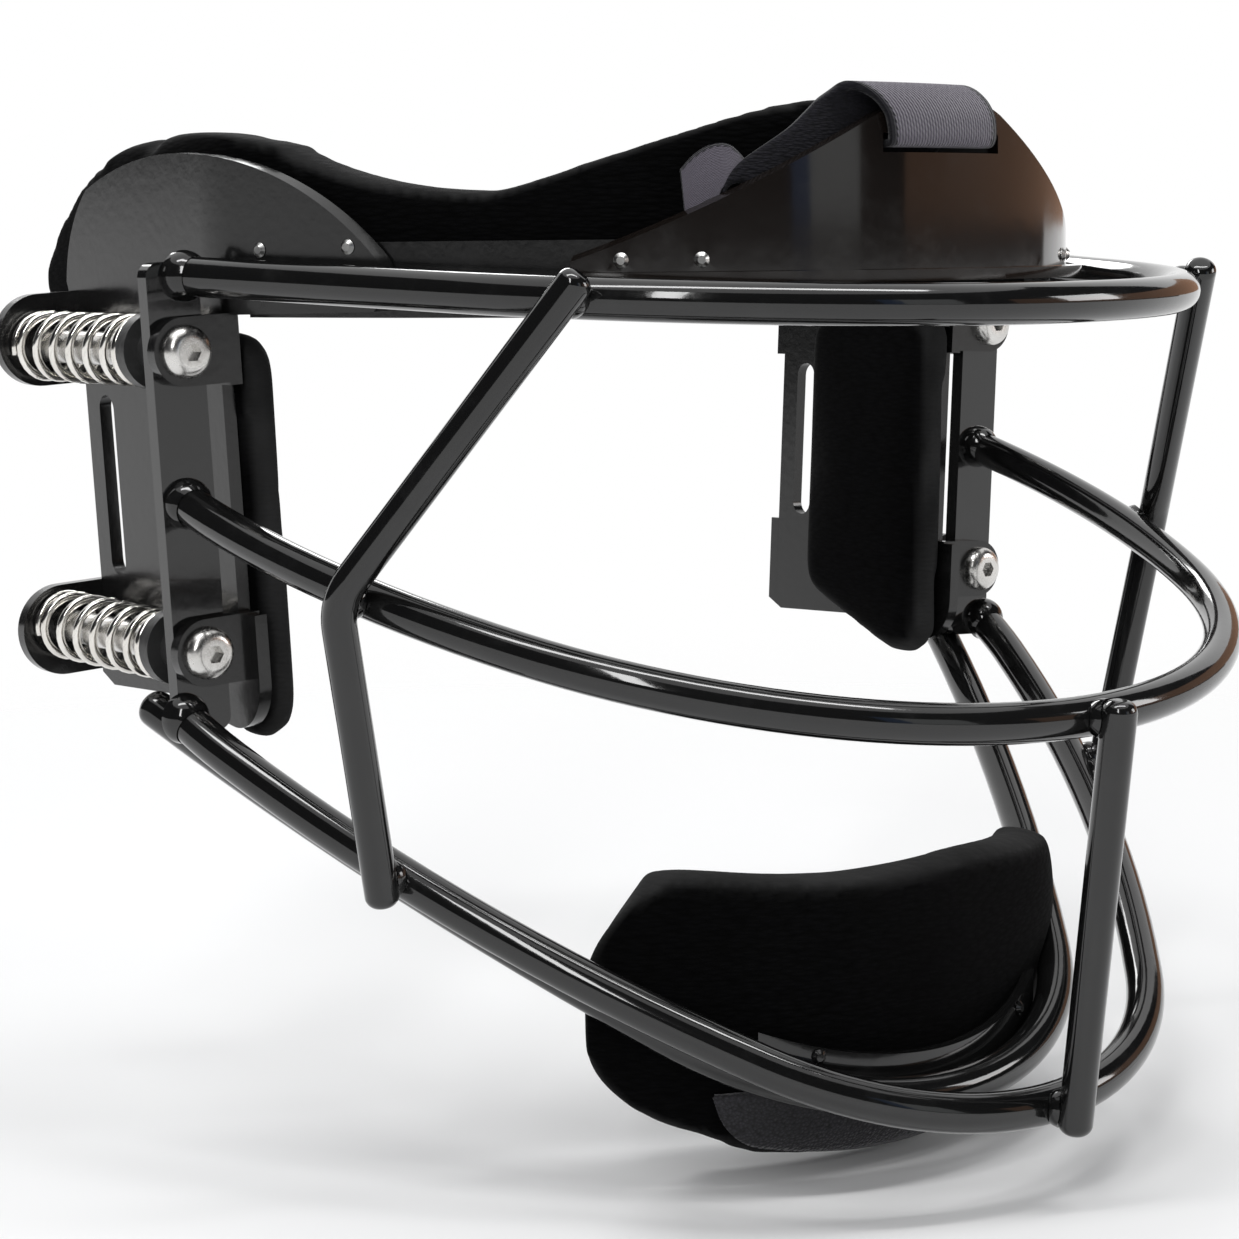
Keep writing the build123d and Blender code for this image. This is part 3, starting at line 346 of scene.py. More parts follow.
specks.inputs["Detail"].default_value = 8
specks.inputs["Roughness"].default_value = 0.75
g.links.new(where.outputs["Object"], specks.inputs["Vector"])
cloudy = math_node(g, "SUBTRACT", specks.outputs["Fac"], 0.52, clamp=True)
cloudy = math_node(g, "MULTIPLY", cloudy, 3.0, clamp=True)
dusty = math_node(g, "MULTIPLY", cloudy, start.outputs["Dust"], clamp=True)
tint = mix_node(g, dusty, start.outputs["Colour"], start.outputs["Dust colour"])
dulled = math_node(g, "MULTIPLY", dusty, 0.8)
dulled = math_node(g, "ADD", dulled, start.outputs["Roughness"])
g.links.new(tint, end.inputs["Colour"])
g.links.new(dulled, end.inputs["Roughness"])
g.links.new(bump.outputs["Normal"], end.inputs["Normal"])

# %% Drawn metal: fine scratches along one axis
metal_group, start, end = new_group(
    "drawn_metal",
    [
        ("Colour", "NodeSocketColor", (0.6, 0.6, 0.6, 1)),
        ("Dark colour", "NodeSocketColor", (0.3, 0.3, 0.3, 1)),
        ("Roughness", "NodeSocketFloat", 0.2),
        ("Stretch", "NodeSocketVector", (1, 1, 1)),
        ("Scratch depth", "NodeSocketFloat", 0.1),
    ],
)
g = metal_group
where = g.nodes.new("ShaderNodeTexCoord")
drawn = g.nodes.new("ShaderNodeMapping")
g.links.new(where.outputs["Object"], drawn.inputs["Vector"])
g.links.new(start.outputs["Stretch"], drawn.inputs["Scale"])
scratch = g.nodes.new("ShaderNodeTexNoise")
scratch.inputs["Scale"].default_value = 900
scratch.inputs["Detail"].default_value = 4
g.links.new(drawn.outputs["Vector"], scratch.inputs["Vector"])
bump = g.nodes.new("ShaderNodeBump")
bump.inputs["Distance"].default_value = 0.0002
g.links.new(start.outputs["Scratch depth"], bump.inputs["Strength"])
g.links.new(scratch.outputs["Fac"], bump.inputs["Height"])
stain = g.nodes.new("ShaderNodeTexNoise")
stain.inputs["Scale"].default_value = 160
stain.inputs["Detail"].default_value = 5
g.links.new(where.outputs["Object"], stain.inputs["Vector"])
patchy = math_node(g, "SUBTRACT", stain.outputs["Fac"], 0.45, clamp=True)
patchy = math_node(g, "MULTIPLY", patchy, 2.2, clamp=True)
tint = mix_node(g, patchy, start.outputs["Colour"], start.outputs["Dark colour"])
rougher = math_node(g, "MULTIPLY", scratch.outputs["Fac"], 0.12)
rougher = math_node(g, "ADD", rougher, start.outputs["Roughness"])
g.links.new(tint, end.inputs["Colour"])
g.links.new(rougher, end.inputs["Roughness"])
g.links.new(bump.outputs["Normal"], end.inputs["Normal"])

# %% Pad cloth: short dashes of thread; the Edge mask makes the foam's cut sides paler, partly their own tone and partly painted light, and paints a highlight on the crest
cloth_group, start, end = new_group(
    "pad_weave",
    [
        ("Colour", "NodeSocketColor", (0.01, 0.01, 0.012, 1)),
        ("Thread colour", "NodeSocketColor", (0.05, 0.05, 0.055, 1)),
        ("Edge colour", "NodeSocketColor", (0.16, 0.16, 0.16, 1)),
        ("Edge", "NodeSocketFloat", 0.0),
        ("Thread", "NodeSocketVector", (500.0, 500.0, 1500.0)),
        ("Depth", "NodeSocketFloat", 0.5),
    ],
)
g = cloth_group
where = g.nodes.new("ShaderNodeTexCoord")
sized = g.nodes.new("ShaderNodeMapping")
g.links.new(where.outputs["Object"], sized.inputs["Vector"])
g.links.new(start.outputs["Thread"], sized.inputs["Scale"])
threads = g.nodes.new("ShaderNodeTexVoronoi")
threads.inputs["Scale"].default_value = 1
g.links.new(sized.outputs["Vector"], threads.inputs["Vector"])
nap = g.nodes.new("ShaderNodeTexNoise")
nap.inputs["Scale"].default_value = 45
nap.inputs["Detail"].default_value = 6
g.links.new(where.outputs["Object"], nap.inputs["Vector"])
raised = math_node(g, "SUBTRACT", 1.0, threads.outputs["Distance"], clamp=True)
lit = math_node(g, "MULTIPLY", raised, nap.outputs["Fac"], clamp=True)
tint = mix_node(g, lit, start.outputs["Colour"], start.outputs["Thread colour"])
# The Edge mask brings in paler cut sides, partly painted light, and a painted crest highlight,
# broken up by the nap.
ragged = math_node(g, "MULTIPLY", nap.outputs["Fac"], 1.6, clamp=True)
ragged = math_node(g, "MULTIPLY", ragged, start.outputs["Edge"], clamp=True)
rim = mix_node(g, ragged, tint, start.outputs["Edge colour"])
relief = math_node(g, "ADD", raised, nap.outputs["Fac"])
bump = g.nodes.new("ShaderNodeBump")
bump.inputs["Distance"].default_value = 0.0004
g.links.new(start.outputs["Depth"], bump.inputs["Strength"])
g.links.new(relief, bump.inputs["Height"])
soft = math_node(g, "MULTIPLY", nap.outputs["Fac"], 0.1)
soft = math_node(g, "ADD", soft, 0.82)
g.links.new(rim, end.inputs["Colour"])
g.links.new(soft, end.inputs["Roughness"])
g.links.new(bump.outputs["Normal"], end.inputs["Normal"])


# %% A material from a group
def finish_from(name, group, values, shader_values):
    """A material whose colour, roughness and normal come from a group with its own values."""
    material = bpy.data.materials.new(name)
    material.use_nodes = True
    tree = material.node_tree
    shader = tree.nodes["Principled BSDF"]
    effect = tree.nodes.new("ShaderNodeGroup")
    effect.node_tree = group
    for label, value in values.items():
        effect.inputs[label].default_value = value
    tree.links.new(effect.outputs["Colour"], shader.inputs["Base Color"])
    tree.links.new(effect.outputs["Roughness"], shader.inputs["Roughness"])
    tree.links.new(effect.outputs["Normal"], shader.inputs["Normal"])
    for label, value in shader_values.items():
        shader.inputs[label].default_value = value
    return material


def grey(value, blue=0.0):
    """An almost neutral colour."""
    return (value, value, value * (1 + blue), 1)


# %% Coats and plastics
def coat_values(colour, dust_colour, dust, roughness, peel_size, peel_depth):
    """Values for the coat group."""
    return {
        "Colour": colour,
        "Dust colour": dust_colour,
        "Dust": dust,
        "Roughness": roughness,
        "Peel size": peel_size,
        "Peel depth": peel_depth,
    }


cage_coat = finish_from(
    "cage_coat",
    coat_group,
    coat_values(grey(0.006), grey(0.09), dust=0.12, roughness=0.1, peel_size=300, peel_depth=0.05),
    {"Coat Weight": 0.5, "Coat Roughness": 0.03, "Specular IOR Level": 0.4},
)
plate_coat = finish_from(
    "plate_coat",
    coat_group,
    coat_values(grey(0.006), grey(0.08), dust=0.2, roughness=0.2, peel_size=520, peel_depth=0.09),
    {"Coat Weight": 0.25, "Coat Roughness": 0.12, "Specular IOR Level": 0.4},
)
warm_black = (0.008, 0.006, 0.005, 1)
shell_gloss = finish_from(
    "shell_gloss",
    coat_group,
    coat_values(warm_black, grey(0.08), dust=0.1, roughness=0.1, peel_size=160, peel_depth=0.05),
    {"Coat Weight": 0.5, "Coat Roughness": 0.08, "Specular IOR Level": 0.45},
)
seat_plastic = finish_from(
    "seat_plastic",
    coat_group,
    coat_values(grey(0.025), grey(0.15), dust=0.3, roughness=0.4, peel_size=900, peel_depth=0.2),
    {"Specular IOR Level": 0.5},
)


# %% Bare metals
def bare_metal(name, colour, dark, roughness, depth, stretch=(1, 1, 1)):
    """A metal with no coat; stretch draws its scratches out along an axis."""
    values = {
        "Colour": (*colour, 1),
        "Dark colour": (*dark, 1),
        "Roughness": roughness,
        "Stretch": stretch,
        "Scratch depth": depth,
    }
    return finish_from(name, metal_group, values, {"Metallic": 1.0})


spring_chrome = bare_metal("spring_chrome", (0.82, 0.8, 0.76), (0.62, 0.59, 0.54), 0.1, 0.05)
sleeve_steel = bare_metal(
    "sleeve_steel", (0.72, 0.71, 0.69), (0.5, 0.49, 0.47), 0.16, 0.12, stretch=(1, 0.08, 1)
)
screw_steel = bare_metal("screw_steel", (0.68, 0.67, 0.65), (0.4, 0.39, 0.37), 0.2, 0.15)
nut_steel = bare_metal("nut_steel", (0.55, 0.54, 0.53), (0.33, 0.32, 0.31), 0.3, 0.2)
rivet_silver = bare_metal("rivet_silver", (0.5, 0.5, 0.49), (0.2, 0.2, 0.2), 0.28, 0.2)
print("materials", len(bpy.data.materials))

# %% [markdown]
# ## Hard pieces
#
# The rods, strips, plates, screws and rivets keep their CAD shape. Their meshes are loose
# triangles, so a Weld modifier joins the corners and an Edge Split keeps true edges sharp
# while the round rods shade smoothly. Each node takes the finish of its real metal or plastic.

# %% Finish for each hard node
hard_finish = {
    cage_coat: [
        "top_bar",
        "middle_bar",
        "lower_outer_bar",
        "chin_bar",
        "centre_bar",
        "cage_welds",
        "left_diagonal_bar",
        "right_diagonal_bar",
        "left_side_strip",
        "right_side_strip",
        "chin_plate",
        "chin_rivets",
    ],
    plate_coat: ["left_side_plate", "right_side_plate", "left_link_band", "right_link_band"],
    shell_gloss: ["forehead_shell"],
    seat_plastic: ["spring_seats"],
    sleeve_steel: ["guide_sleeves"],
    screw_steel: ["suspension_screws"],
    nut_steel: ["lock_nuts"],
    rivet_silver: ["band_rivets"],
}


corner_gap = 0.000005  # corners closer than this are one point
edge_angle = math.radians(32)  # faces that meet at more than this keep a sharp edge


def dress(node, material):
    """Give a CAD node a material and smooth shading with sharp edges kept."""
    piece = nodes[node]
    piece.data.materials.clear()
    piece.data.materials.append(material)
    for face in piece.data.polygons:
        face.material_index = 0
        face.use_smooth = True
    weld = piece.modifiers.new("join_corners", "WELD")
    weld.merge_threshold = corner_gap
    split = piece.modifiers.new("keep_edges", "EDGE_SPLIT")
    split.split_angle = edge_angle


for material, names in hard_finish.items():
    for name in names:
        dress(name, material)
print("dressed", sum(len(names) for names in hard_finish.values()), "nodes")

# %% [markdown]
# ## Springs
#
# Each guide carries a compression spring of 1.6 mm wire: a closed turn at each end and open
# turns between. A ring of the wire's section is spun round the guide, and each step also
# moves a little along it, which winds the helix. Three spins give the closed, open and closed
# turns.


# %% Helpers for new pieces
def piece_from(bm, name, material):
    """An object at the origin from a finished bmesh."""
    mesh = bpy.data.meshes.new(name)
    bm.to_mesh(mesh)
    bm.free()
    for face in mesh.polygons:
        face.use_smooth = True
    piece = bpy.data.objects.new(name, mesh)
    bpy.context.scene.collection.objects.link(piece)
    piece.data.materials.append(material)
    return piece


# %% Sizes of a spring
wire_r = 0.8 * mm
wire_sides = 10
coil_r = 5.9 * mm
coil_front = 10.85 * mm
coil_rear = 50.65 * mm
closed_pitch = 2.2 * mm
open_turns = 5.5
open_pitch = (coil_rear - coil_front - 2 * closed_pitch) / open_turns
turn_steps = 28
cut_end = 1.6 * mm
print("open pitch", round(open_pitch * 1000, 2), "mm")


# %% Wind a spring
def cut_straight(bm, edges):
    """Run the wire a little straight on from its last ring, and close it."""
    stub = bmesh.ops.extrude_edge_only(bm, edges=edges)["geom"]
    tip = [v for v in stub if isinstance(v, bmesh.types.BMVert)]
    tip_edges = [e for e in stub if isinstance(e, bmesh.types.BMEdge)]
    bmesh.ops.translate(bm, vec=(0, 0, -cut_end), verts=tip)
    bmesh.ops.contextual_create(bm, geom=tip_edges)


def wound_spring(name, centre):
    """A spring along +Y round a guide, with straight cut ends."""
    bm = bmesh.new()
    section = bmesh.ops.create_circle(bm, segments=wire_sides, radius=wire_r)["verts"]
    start = Vector((centre[0] + coil_r, coil_front, centre[1]))
    bmesh.ops.translate(bm, vec=start, verts=section)
    ring = list(bm.edges)
    cut_straight(bm, ring)
    front = section + ring
    for turns, pitch in ((1.0, closed_pitch), (open_turns, open_pitch), (1.0, closed_pitch)):
        wound = bmesh.ops.spin(
            bm,
            geom=front,
            cent=(centre[0], 0, centre[1]),
            axis=(0, -1, 0),
            dvec=(0, pitch / turn_steps, 0),
            angle=2 * math.pi * turns,
            steps=round(turns * turn_steps),
            use_duplicate=False,
        )
        front = wound["geom_last"]
    cut_straight(bm, [e for e in front if isinstance(e, bmesh.types.BMEdge)])
    bmesh.ops.remove_doubles(bm, verts=bm.verts, dist=0.00001)
    bmesh.ops.recalc_face_normals(bm, faces=bm.faces)
    return piece_from(bm, name, spring_chrome)


# %% Four springs
for hand in ("right", "left"):
    for height in ("upper", "lower"):
        node = f"{hand}_{height}_spring"
        low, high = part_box(node)
        centre = ((low.x + high.x) / 2, (low.z + high.z) / 2)
        spring = wound_spring(f"wound_{node}", centre)
        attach(spring, "harness")
        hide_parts(node)
        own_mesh(spring)
        print(spring.name, len(spring.data.polygons), "faces")

# %% [markdown]
# ## Foam pads
#
# The real pads are sheets of soft foam with brushed cloth laid over them. Each one starts as
# the CAD solid, is cut into small even faces, and is then blown up a little by the cloth
# solver, so its faces crown and its cut edges round over. No point may travel further than
# the room that it has to the metal beside it, so the pads press close but never pass through.
# The small faces come from a level grid, which would cut steps into a sloping top edge. The
# forehead pad is therefore let down by its crest's height first, and lifted back after.

# %% Room round a pad
from mathutils.bvhtree import BVHTree


def room_tree(names):
    """A search tree over the surfaces of some CAD nodes."""
    points, faces = [], []
    for name in names:
        mesh = nodes[name].data
        first = len(points)
        points.extend(v.co.copy() for v in mesh.vertices)
        faces.extend([first + i for i in face.vertices] for face in mesh.polygons)
    return BVHTree.FromPolygons(points, faces)


def within_room(tree, point, shift, spare):
    """The shift, shortened to stay clear of the surfaces in the tree."""
    if shift.length == 0:
        return shift
    nearest = tree.find_nearest(point)[3]
    allowed = max(0.0, nearest - spare)
    return shift if shift.length <= allowed else shift.normalized() * allowed


# %% Crest of a pad
def crest_line(node, first, last):
    """Level of a node's top edge along Y, as a function made from rays cast downwards."""
    tree = room_tree([node])
    step = 2.0 * mm
    above = 0.2
    down = Vector((0, 0, -1))
    levels = []
    for index in range(round((last - first) / step) + 1):
        y = first + index * step
        starts = [Vector((column * step, y, above)) for column in range(1, 50)]
        hits = [tree.ray_cast(start, down)[0] for start in starts]
        levels.append(max(hit.z for hit in hits if hit is not None))

    def level_at(y):
        place = max(0.0, min(len(levels) - 1.001, (y - first) / step))
        index = int(place)
        return levels[index] + (levels[index + 1] - levels[index]) * (place - index)

    return level_at


# %% Even faces over a CAD solid
def even_copy(name, node, voxel, rounds, level_at=None):
    """A new object with the node's shape in even small faces.

    With level_at, the crest is level while the faces are cut and smoothed.
    """
    bm = bmesh.new()
    bm.from_mesh(nodes[node].data)
    bmesh.ops.remove_doubles(bm, verts=bm.verts, dist=0.00001)
    if level_at:
        for vertex in bm.verts:
            vertex.co.z -= level_at(vertex.co.y)
    solid = BVHTree.FromBMesh(bm)
    mesh = bpy.data.meshes.new(name)
    bm.to_mesh(mesh)
    bm.free()
    piece = bpy.data.objects.new(name, mesh)
    bpy.context.scene.collection.objects.link(piece)
    grid = piece.modifiers.new("even", "REMESH")
    grid.mode = "VOXEL"
    grid.voxel_size = voxel
    settle(piece)
    for vertex in piece.data.vertices:
        vertex.co = solid.find_nearest(vertex.co)[0]
    bm = bmesh.new()
    bm.from_mesh(piece.data)
    every_axis = {"use_axis_x": True, "use_axis_y": True, "use_axis_z": True}
    for _ in range(rounds):
        bmesh.ops.smooth_vert(bm, verts=bm.verts, factor=0.5, **every_axis)
    if level_at:
        for vertex in bm.verts:
            vertex.co.z += level_at(vertex.co.y)
    bm.to_mesh(piece.data)
    bm.free()
    return piece


def settle(piece):
    """Put the result of a piece's modifiers into its mesh."""
    bpy.context.view_layer.update()
    graph = bpy.context.evaluated_depsgraph_get()
    result = bpy.data.meshes.new_from_object(piece.evaluated_get(graph))
    piece.modifiers.clear()
    piece.data = result


# %% Blow a pad up
metal_gap = 0.15 * mm  # the least that a blown-up pad keeps from the metal
swell_frames = 16


def swell(piece, most, tree):
    """Cloth with inner pressure; each point moves at most as far as it may."""
    before = [v.co.copy() for v in piece.data.vertices]
    cloth = piece.modifiers.new("foam", "CLOTH")
    cloth.settings.quality = 6
    cloth.settings.mass = 0.3
    cloth.settings.tension_stiffness = 12
    cloth.settings.compression_stiffness = 12
    cloth.settings.bending_stiffness = 0.6
    cloth.settings.use_pressure = True
    cloth.settings.uniform_pressure_force = 4
    cloth.settings.effector_weights.gravity = 0
    cloth.collision_settings.use_collision = False
    cloth.point_cache.frame_start = 1
    cloth.point_cache.frame_end = swell_frames
    stage = bpy.context.scene
    for number in range(1, swell_frames + 1):
        stage.frame_set(number)
    graph = bpy.context.evaluated_depsgraph_get()
    result = bpy.data.meshes.new_from_object(piece.evaluated_get(graph))
    after = [v.co.copy() for v in result.vertices]
    piece.modifiers.clear()
    stage.frame_set(1)
    moves = []
    for vertex, old, new in zip(piece.data.vertices, before, after):
        shift = new - old
        if shift.length > most:
            shift = shift.normalized() * most
        shift = within_room(tree, old, shift, metal_gap)
        vertex.co = old + shift
        moves.append(shift.length)
    bpy.data.meshes.remove(result)
    average = sum(moves) / len(moves)
    print(piece.name, "most", round(max(moves) * 1000, 2), "mm, mean", round(average * 1000, 2))


# %% Finish a pad
# Cut sides are paler, partly their own tone and partly painted light.
side_tone_and_light = 0.32  # how pale the cut sides are, as a share of the edge colour
# The corner between face and side is made paler as a painted highlight.
ridge_highlight = 0.3  # how much paler the corner between face and side is


def edge_tone_and_light(facing):
    """Paleness of a point, from 1 on a pad's broad face to 0 on its cut side: the side's own tone
    with painted light, and a painted highlight on the corner between.
    """
    side = max(0.0, min(1.0, (0.72 - facing) / 0.3))
    # ridge: a painted highlight along the corner between face and side
    ridge = max(0.0, 1 - abs(facing - 0.7) / 0.22)
    return side_tone_and_light * side + ridge_highlight * ridge


def finish_pad(piece, node, body, across):
    """Mark the paler cut sides and the painted crest highlight, smooth, and stand the pad in for
    its CAD solid.
    """
    mesh = piece.data
    bm = bmesh.new()
    bm.from_mesh(mesh)
    bmesh.ops.recalc_face_normals(bm, faces=bm.faces)
    bm.normal_update()
    bm.to_mesh(mesh)
    bm.free()
    # The mask paints light on each pad: paler cut sides and a highlight on the crest.
    edge = mesh.attributes.new("edge_tone_and_light_mask", "FLOAT", "POINT")
    for vertex in mesh.vertices:
        facing = abs(vertex.normal.dot(across(vertex.co)))
        edge.data[vertex.index].value = edge_tone_and_light(facing)
    for face in mesh.polygons:
        face.use_smooth = True
    mesh.materials.clear()
    mesh.materials.append(pad_cloth)
    fine = piece.modifiers.new("fine", "SUBSURF")
    fine.levels = 1
    fine.render_levels = 1
    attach(piece, body)
    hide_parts(node)
    print(piece.name, len(mesh.polygons), "faces")


# %% Cloth of the pads and of the patch
def edge_attribute(material):
    """Let the cloth group read the piece's mask of paler cut sides and painted crest highlight."""
    tree = material.node_tree
    effect = next(n for n in tree.nodes if n.type == "GROUP")
    mark = tree.nodes.new("ShaderNodeAttribute")
    mark.attribute_name = "edge_tone_and_light_mask"
    tree.links.new(mark.outputs["Fac"], effect.inputs["Edge"])


pad_cloth = finish_from(
    "pad_cloth",
    cloth_group,
    {
        "Colour": grey(0.0006),
        "Thread colour": grey(0.004, 0.15),
        # Edge colour: the cut sides' tone, with painted light, and the painted crest highlight
        "Edge colour": grey(0.085),
        "Thread": (380, 380, 1500),
        "Depth": 0.35,
    },
    {"Sheen Weight": 0.01, "Sheen Roughness": 0.5, "Specular IOR Level": 0.04},
)
edge_attribute(pad_cloth)
flap_cloth = finish_from(
    "flap_cloth",
    cloth_group,
    {
        "Colour": grey(0.016),
        "Thread colour": (0.075, 0.072, 0.085, 1),
        "Edge colour": grey(0.06),
        "Thread": (1700, 1700, 1700),
        "Depth": 0.6,
    },
    {"Sheen Weight": 0.25, "Sheen Roughness": 0.4, "Specular IOR Level": 0.2},
)
print("cloths", pad_cloth.name, flap_cloth.name)

# %% Forehead pad
head_axis_y = -7.8 * mm


def from_head_axis(point):
    """The level direction from the head's upright axis to a point."""
    return Vector((point.x, min(point.y - head_axis_y, 0), 0)).normalized()


round_brow = room_tree(
    [
        "forehead_shell",
        "left_link_band",
        "right_link_band",
        "band_rivets",
        "left_side_plate",
        "right_side_plate",
    ]
)
brow_crest = crest_line("forehead_pad", -74 * mm, 50 * mm)
brow = even_copy("brow_pad", "forehead_pad", voxel=1.5 * mm, rounds=3, level_at=brow_crest)
swell(brow, 1.4 * mm, round_brow)
finish_pad(brow, "forehead_pad", "harness", from_head_axis)



# %% Temple pads
def sideways(point):
    """Both temple pads lie flat against their plates, so every point faces along X."""
    return Vector((1, 0, 0))


for hand in ("left", "right"):
    node = f"{hand}_temple_pad"
    beside = room_tree([f"{hand}_side_plate"])
    cushion = even_copy(f"{hand}_temple_cushion", node, voxel=2.2 * mm, rounds=3)
    swell(cushion, 1.2 * mm, beside)
    finish_pad(cushion, node, "harness", sideways)

# %% [markdown]
# The chin cup is the largest pad and sits a little twisted: its end on the wearer's left is
# lower and leans further out than the other, whose two corners are rounded. These moves are
# put in first, on the even faces, and the cloth solver rounds them after.


# %% Moves of the chin cup
chin_axis_y = -10.2 * mm


def from_chin_axis(point):
    """The level line from the chin cup's upright axis to a point."""
    return Vector((point.x, point.y - chin_axis_y, 0))


def turn_to_right(point):
    """Angle of a point round that axis, from the front towards the wearer's right."""
    return math.atan2(-point.x, -(point.y - chin_axis_y))


def smooth_step(value, low, high):
    """0 below low, 1 above high, and smooth between."""
    share = max(0.0, min(1.0, (value - low) / (high - low)))
    return share * share * (3 - 2 * share)


def chin_twist(point):
    """How far a point of the chin cup is turned out of the even CAD shape."""
    up = smooth_step(point.z, -105 * mm, -68 * mm)
    left_end = smooth_step(point.x, 15 * mm, 52 * mm)
    right_end = smooth_step(-point.x, 5 * mm, 50 * mm)
    out_and_down = Vector((3.5 * mm, -3.0 * mm, -2.5 * mm))
    raised = Vector((0, 0, 2.5 * mm))
    return out_and_down * up * left_end + raised * up * right_end


def corner_round(point, low, high, end_turn):
    """How far a point moves along the cup to round both corners of its right end."""
    near_end = smooth_step(
        turn_to_right(point), end_turn - math.radians(30), end_turn + math.radians(4)
    )
    upper = smooth_step(point.z, high - 19 * mm, high + 2 * mm) ** 1.2
    lower = smooth_step(-point.z, -low - 24 * mm, -low - 5 * mm) ** 1.3
    back = math.radians(9 * upper + 12 * lower) * near_end
    arm = from_chin_axis(point)
    return Matrix.Rotation(back, 3, "Z") @ arm - arm


# %% Chin cup
chin_metal = [
    "chin_bar",
    "chin_plate",
    "chin_rivets",
    "lower_outer_bar",
    "cage_welds",
    "centre_bar",
]
round_chin = room_tree(chin_metal)
cup = even_copy("chin_cup_pad", "chin_pad", voxel=2.0 * mm, rounds=2)
cup_low = min(vertex.co.z for vertex in cup.data.vertices)
cup_high = max(vertex.co.z for vertex in cup.data.vertices)
cup_end = max(turn_to_right(vertex.co) for vertex in cup.data.vertices)
for vertex in cup.data.vertices:
    point = vertex.co.copy()
    shift = corner_round(point, cup_low, cup_high, cup_end)
    shift += chin_twist(point)
    vertex.co += within_room(round_chin, point, shift, 0.3 * mm)
print("chin cup ends at", round(math.degrees(cup_end)), "degrees")
swell(cup, 1.6 * mm, room_tree(chin_metal + ["chin_pad_flap"]))
finish_pad(cup, "chin_pad", "cage", lambda point: from_chin_axis(point).normalized())

# %% [markdown]
# A loop-cloth patch lies on the front of the chin cup, below the bar. It is a thin sheet that
# follows the cup, with round lower corners. A flat grid gets this outline, and rays from the
# front lay each of its points on the cup.


# %% Outline of the patch
patch_half = 39.6 * mm
patch_top = -103.2 * mm
patch_foot = -117.7 * mm  # at the middle
patch_rise = 6.2 * mm  # of the foot from the middle to the ends
patch_corner = 9 * mm


def foot_at(x):
    """Level of the patch's lower edge at x."""
    share = abs(x) / patch_half
    foot = patch_foot + patch_rise * share * share
    past = abs(x) - (patch_half - patch_corner)
    if past > 0:
        inner = max(0.0, patch_corner * patch_corner - past * past)
        foot += patch_corner - math.sqrt(inner)
    return min(foot, patch_top - 1.0 * mm)


# %% Lay the patch on the cup
cup_front = room_tree(["chin_pad_flap"])
safe_level = -106.5 * mm  # where a ray always meets the cup
search_step = 0.3 * mm


def cup_hit(x, level):
    """Where a ray from the front meets the cup."""
    return cup_front.ray_cast(Vector((x, -0.3, level)), Vector((0, 1, 0)))[0]


bm = bmesh.new()
grid = bmesh.ops.create_grid(bm, x_segments=72, y_segments=12, size=1.0)["verts"]
for vertex in grid:
    x = vertex.co.x * patch_half
    down = (1 - vertex.co.y) / 2
    z = patch_top + (foot_at(x) - patch_top) * down
    level = z
    hit = cup_hit(x, level)
    while hit is None and abs(level - safe_level) > 0.5 * mm:
        level += search_step if level < safe_level else -search_step
        hit = cup_hit(x, level)
    vertex.co = (x, hit.y, z)
bmesh.ops.recalc_face_normals(bm, faces=bm.faces)
if sum(face.normal.y for face in bm.faces) > 0:
    bmesh.ops.reverse_faces(bm, faces=bm.faces)
bmesh.ops.translate(bm, vec=(0, 0.05 * mm, 0), verts=bm.verts)
print("patch", round(2000 * patch_half, 1), "mm across")

# %% Patch piece
patch = piece_from(bm, "chin_cup_patch", flap_cloth)
thick = patch.modifiers.new("thick", "SOLIDIFY")
thick.thickness = 1.25 * mm
thick.offset = -1
settle(patch)
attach(patch, "cage")
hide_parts("chin_pad_flap")
print(patch.name, len(patch.data.polygons), "faces")

# %% [markdown]
# ## Head strap
#
# A ribbed elastic strap comes over the top of the shell, goes in at the slot, and its loose
# tail runs off between shell and forehead pad to a half-turned end. It is drawn as two edge
# lines in turn, radius and level round the head's axis. A thin solid skin between the lines
# gives a grey ribbed outer face and an underside painted near black as painted shade.

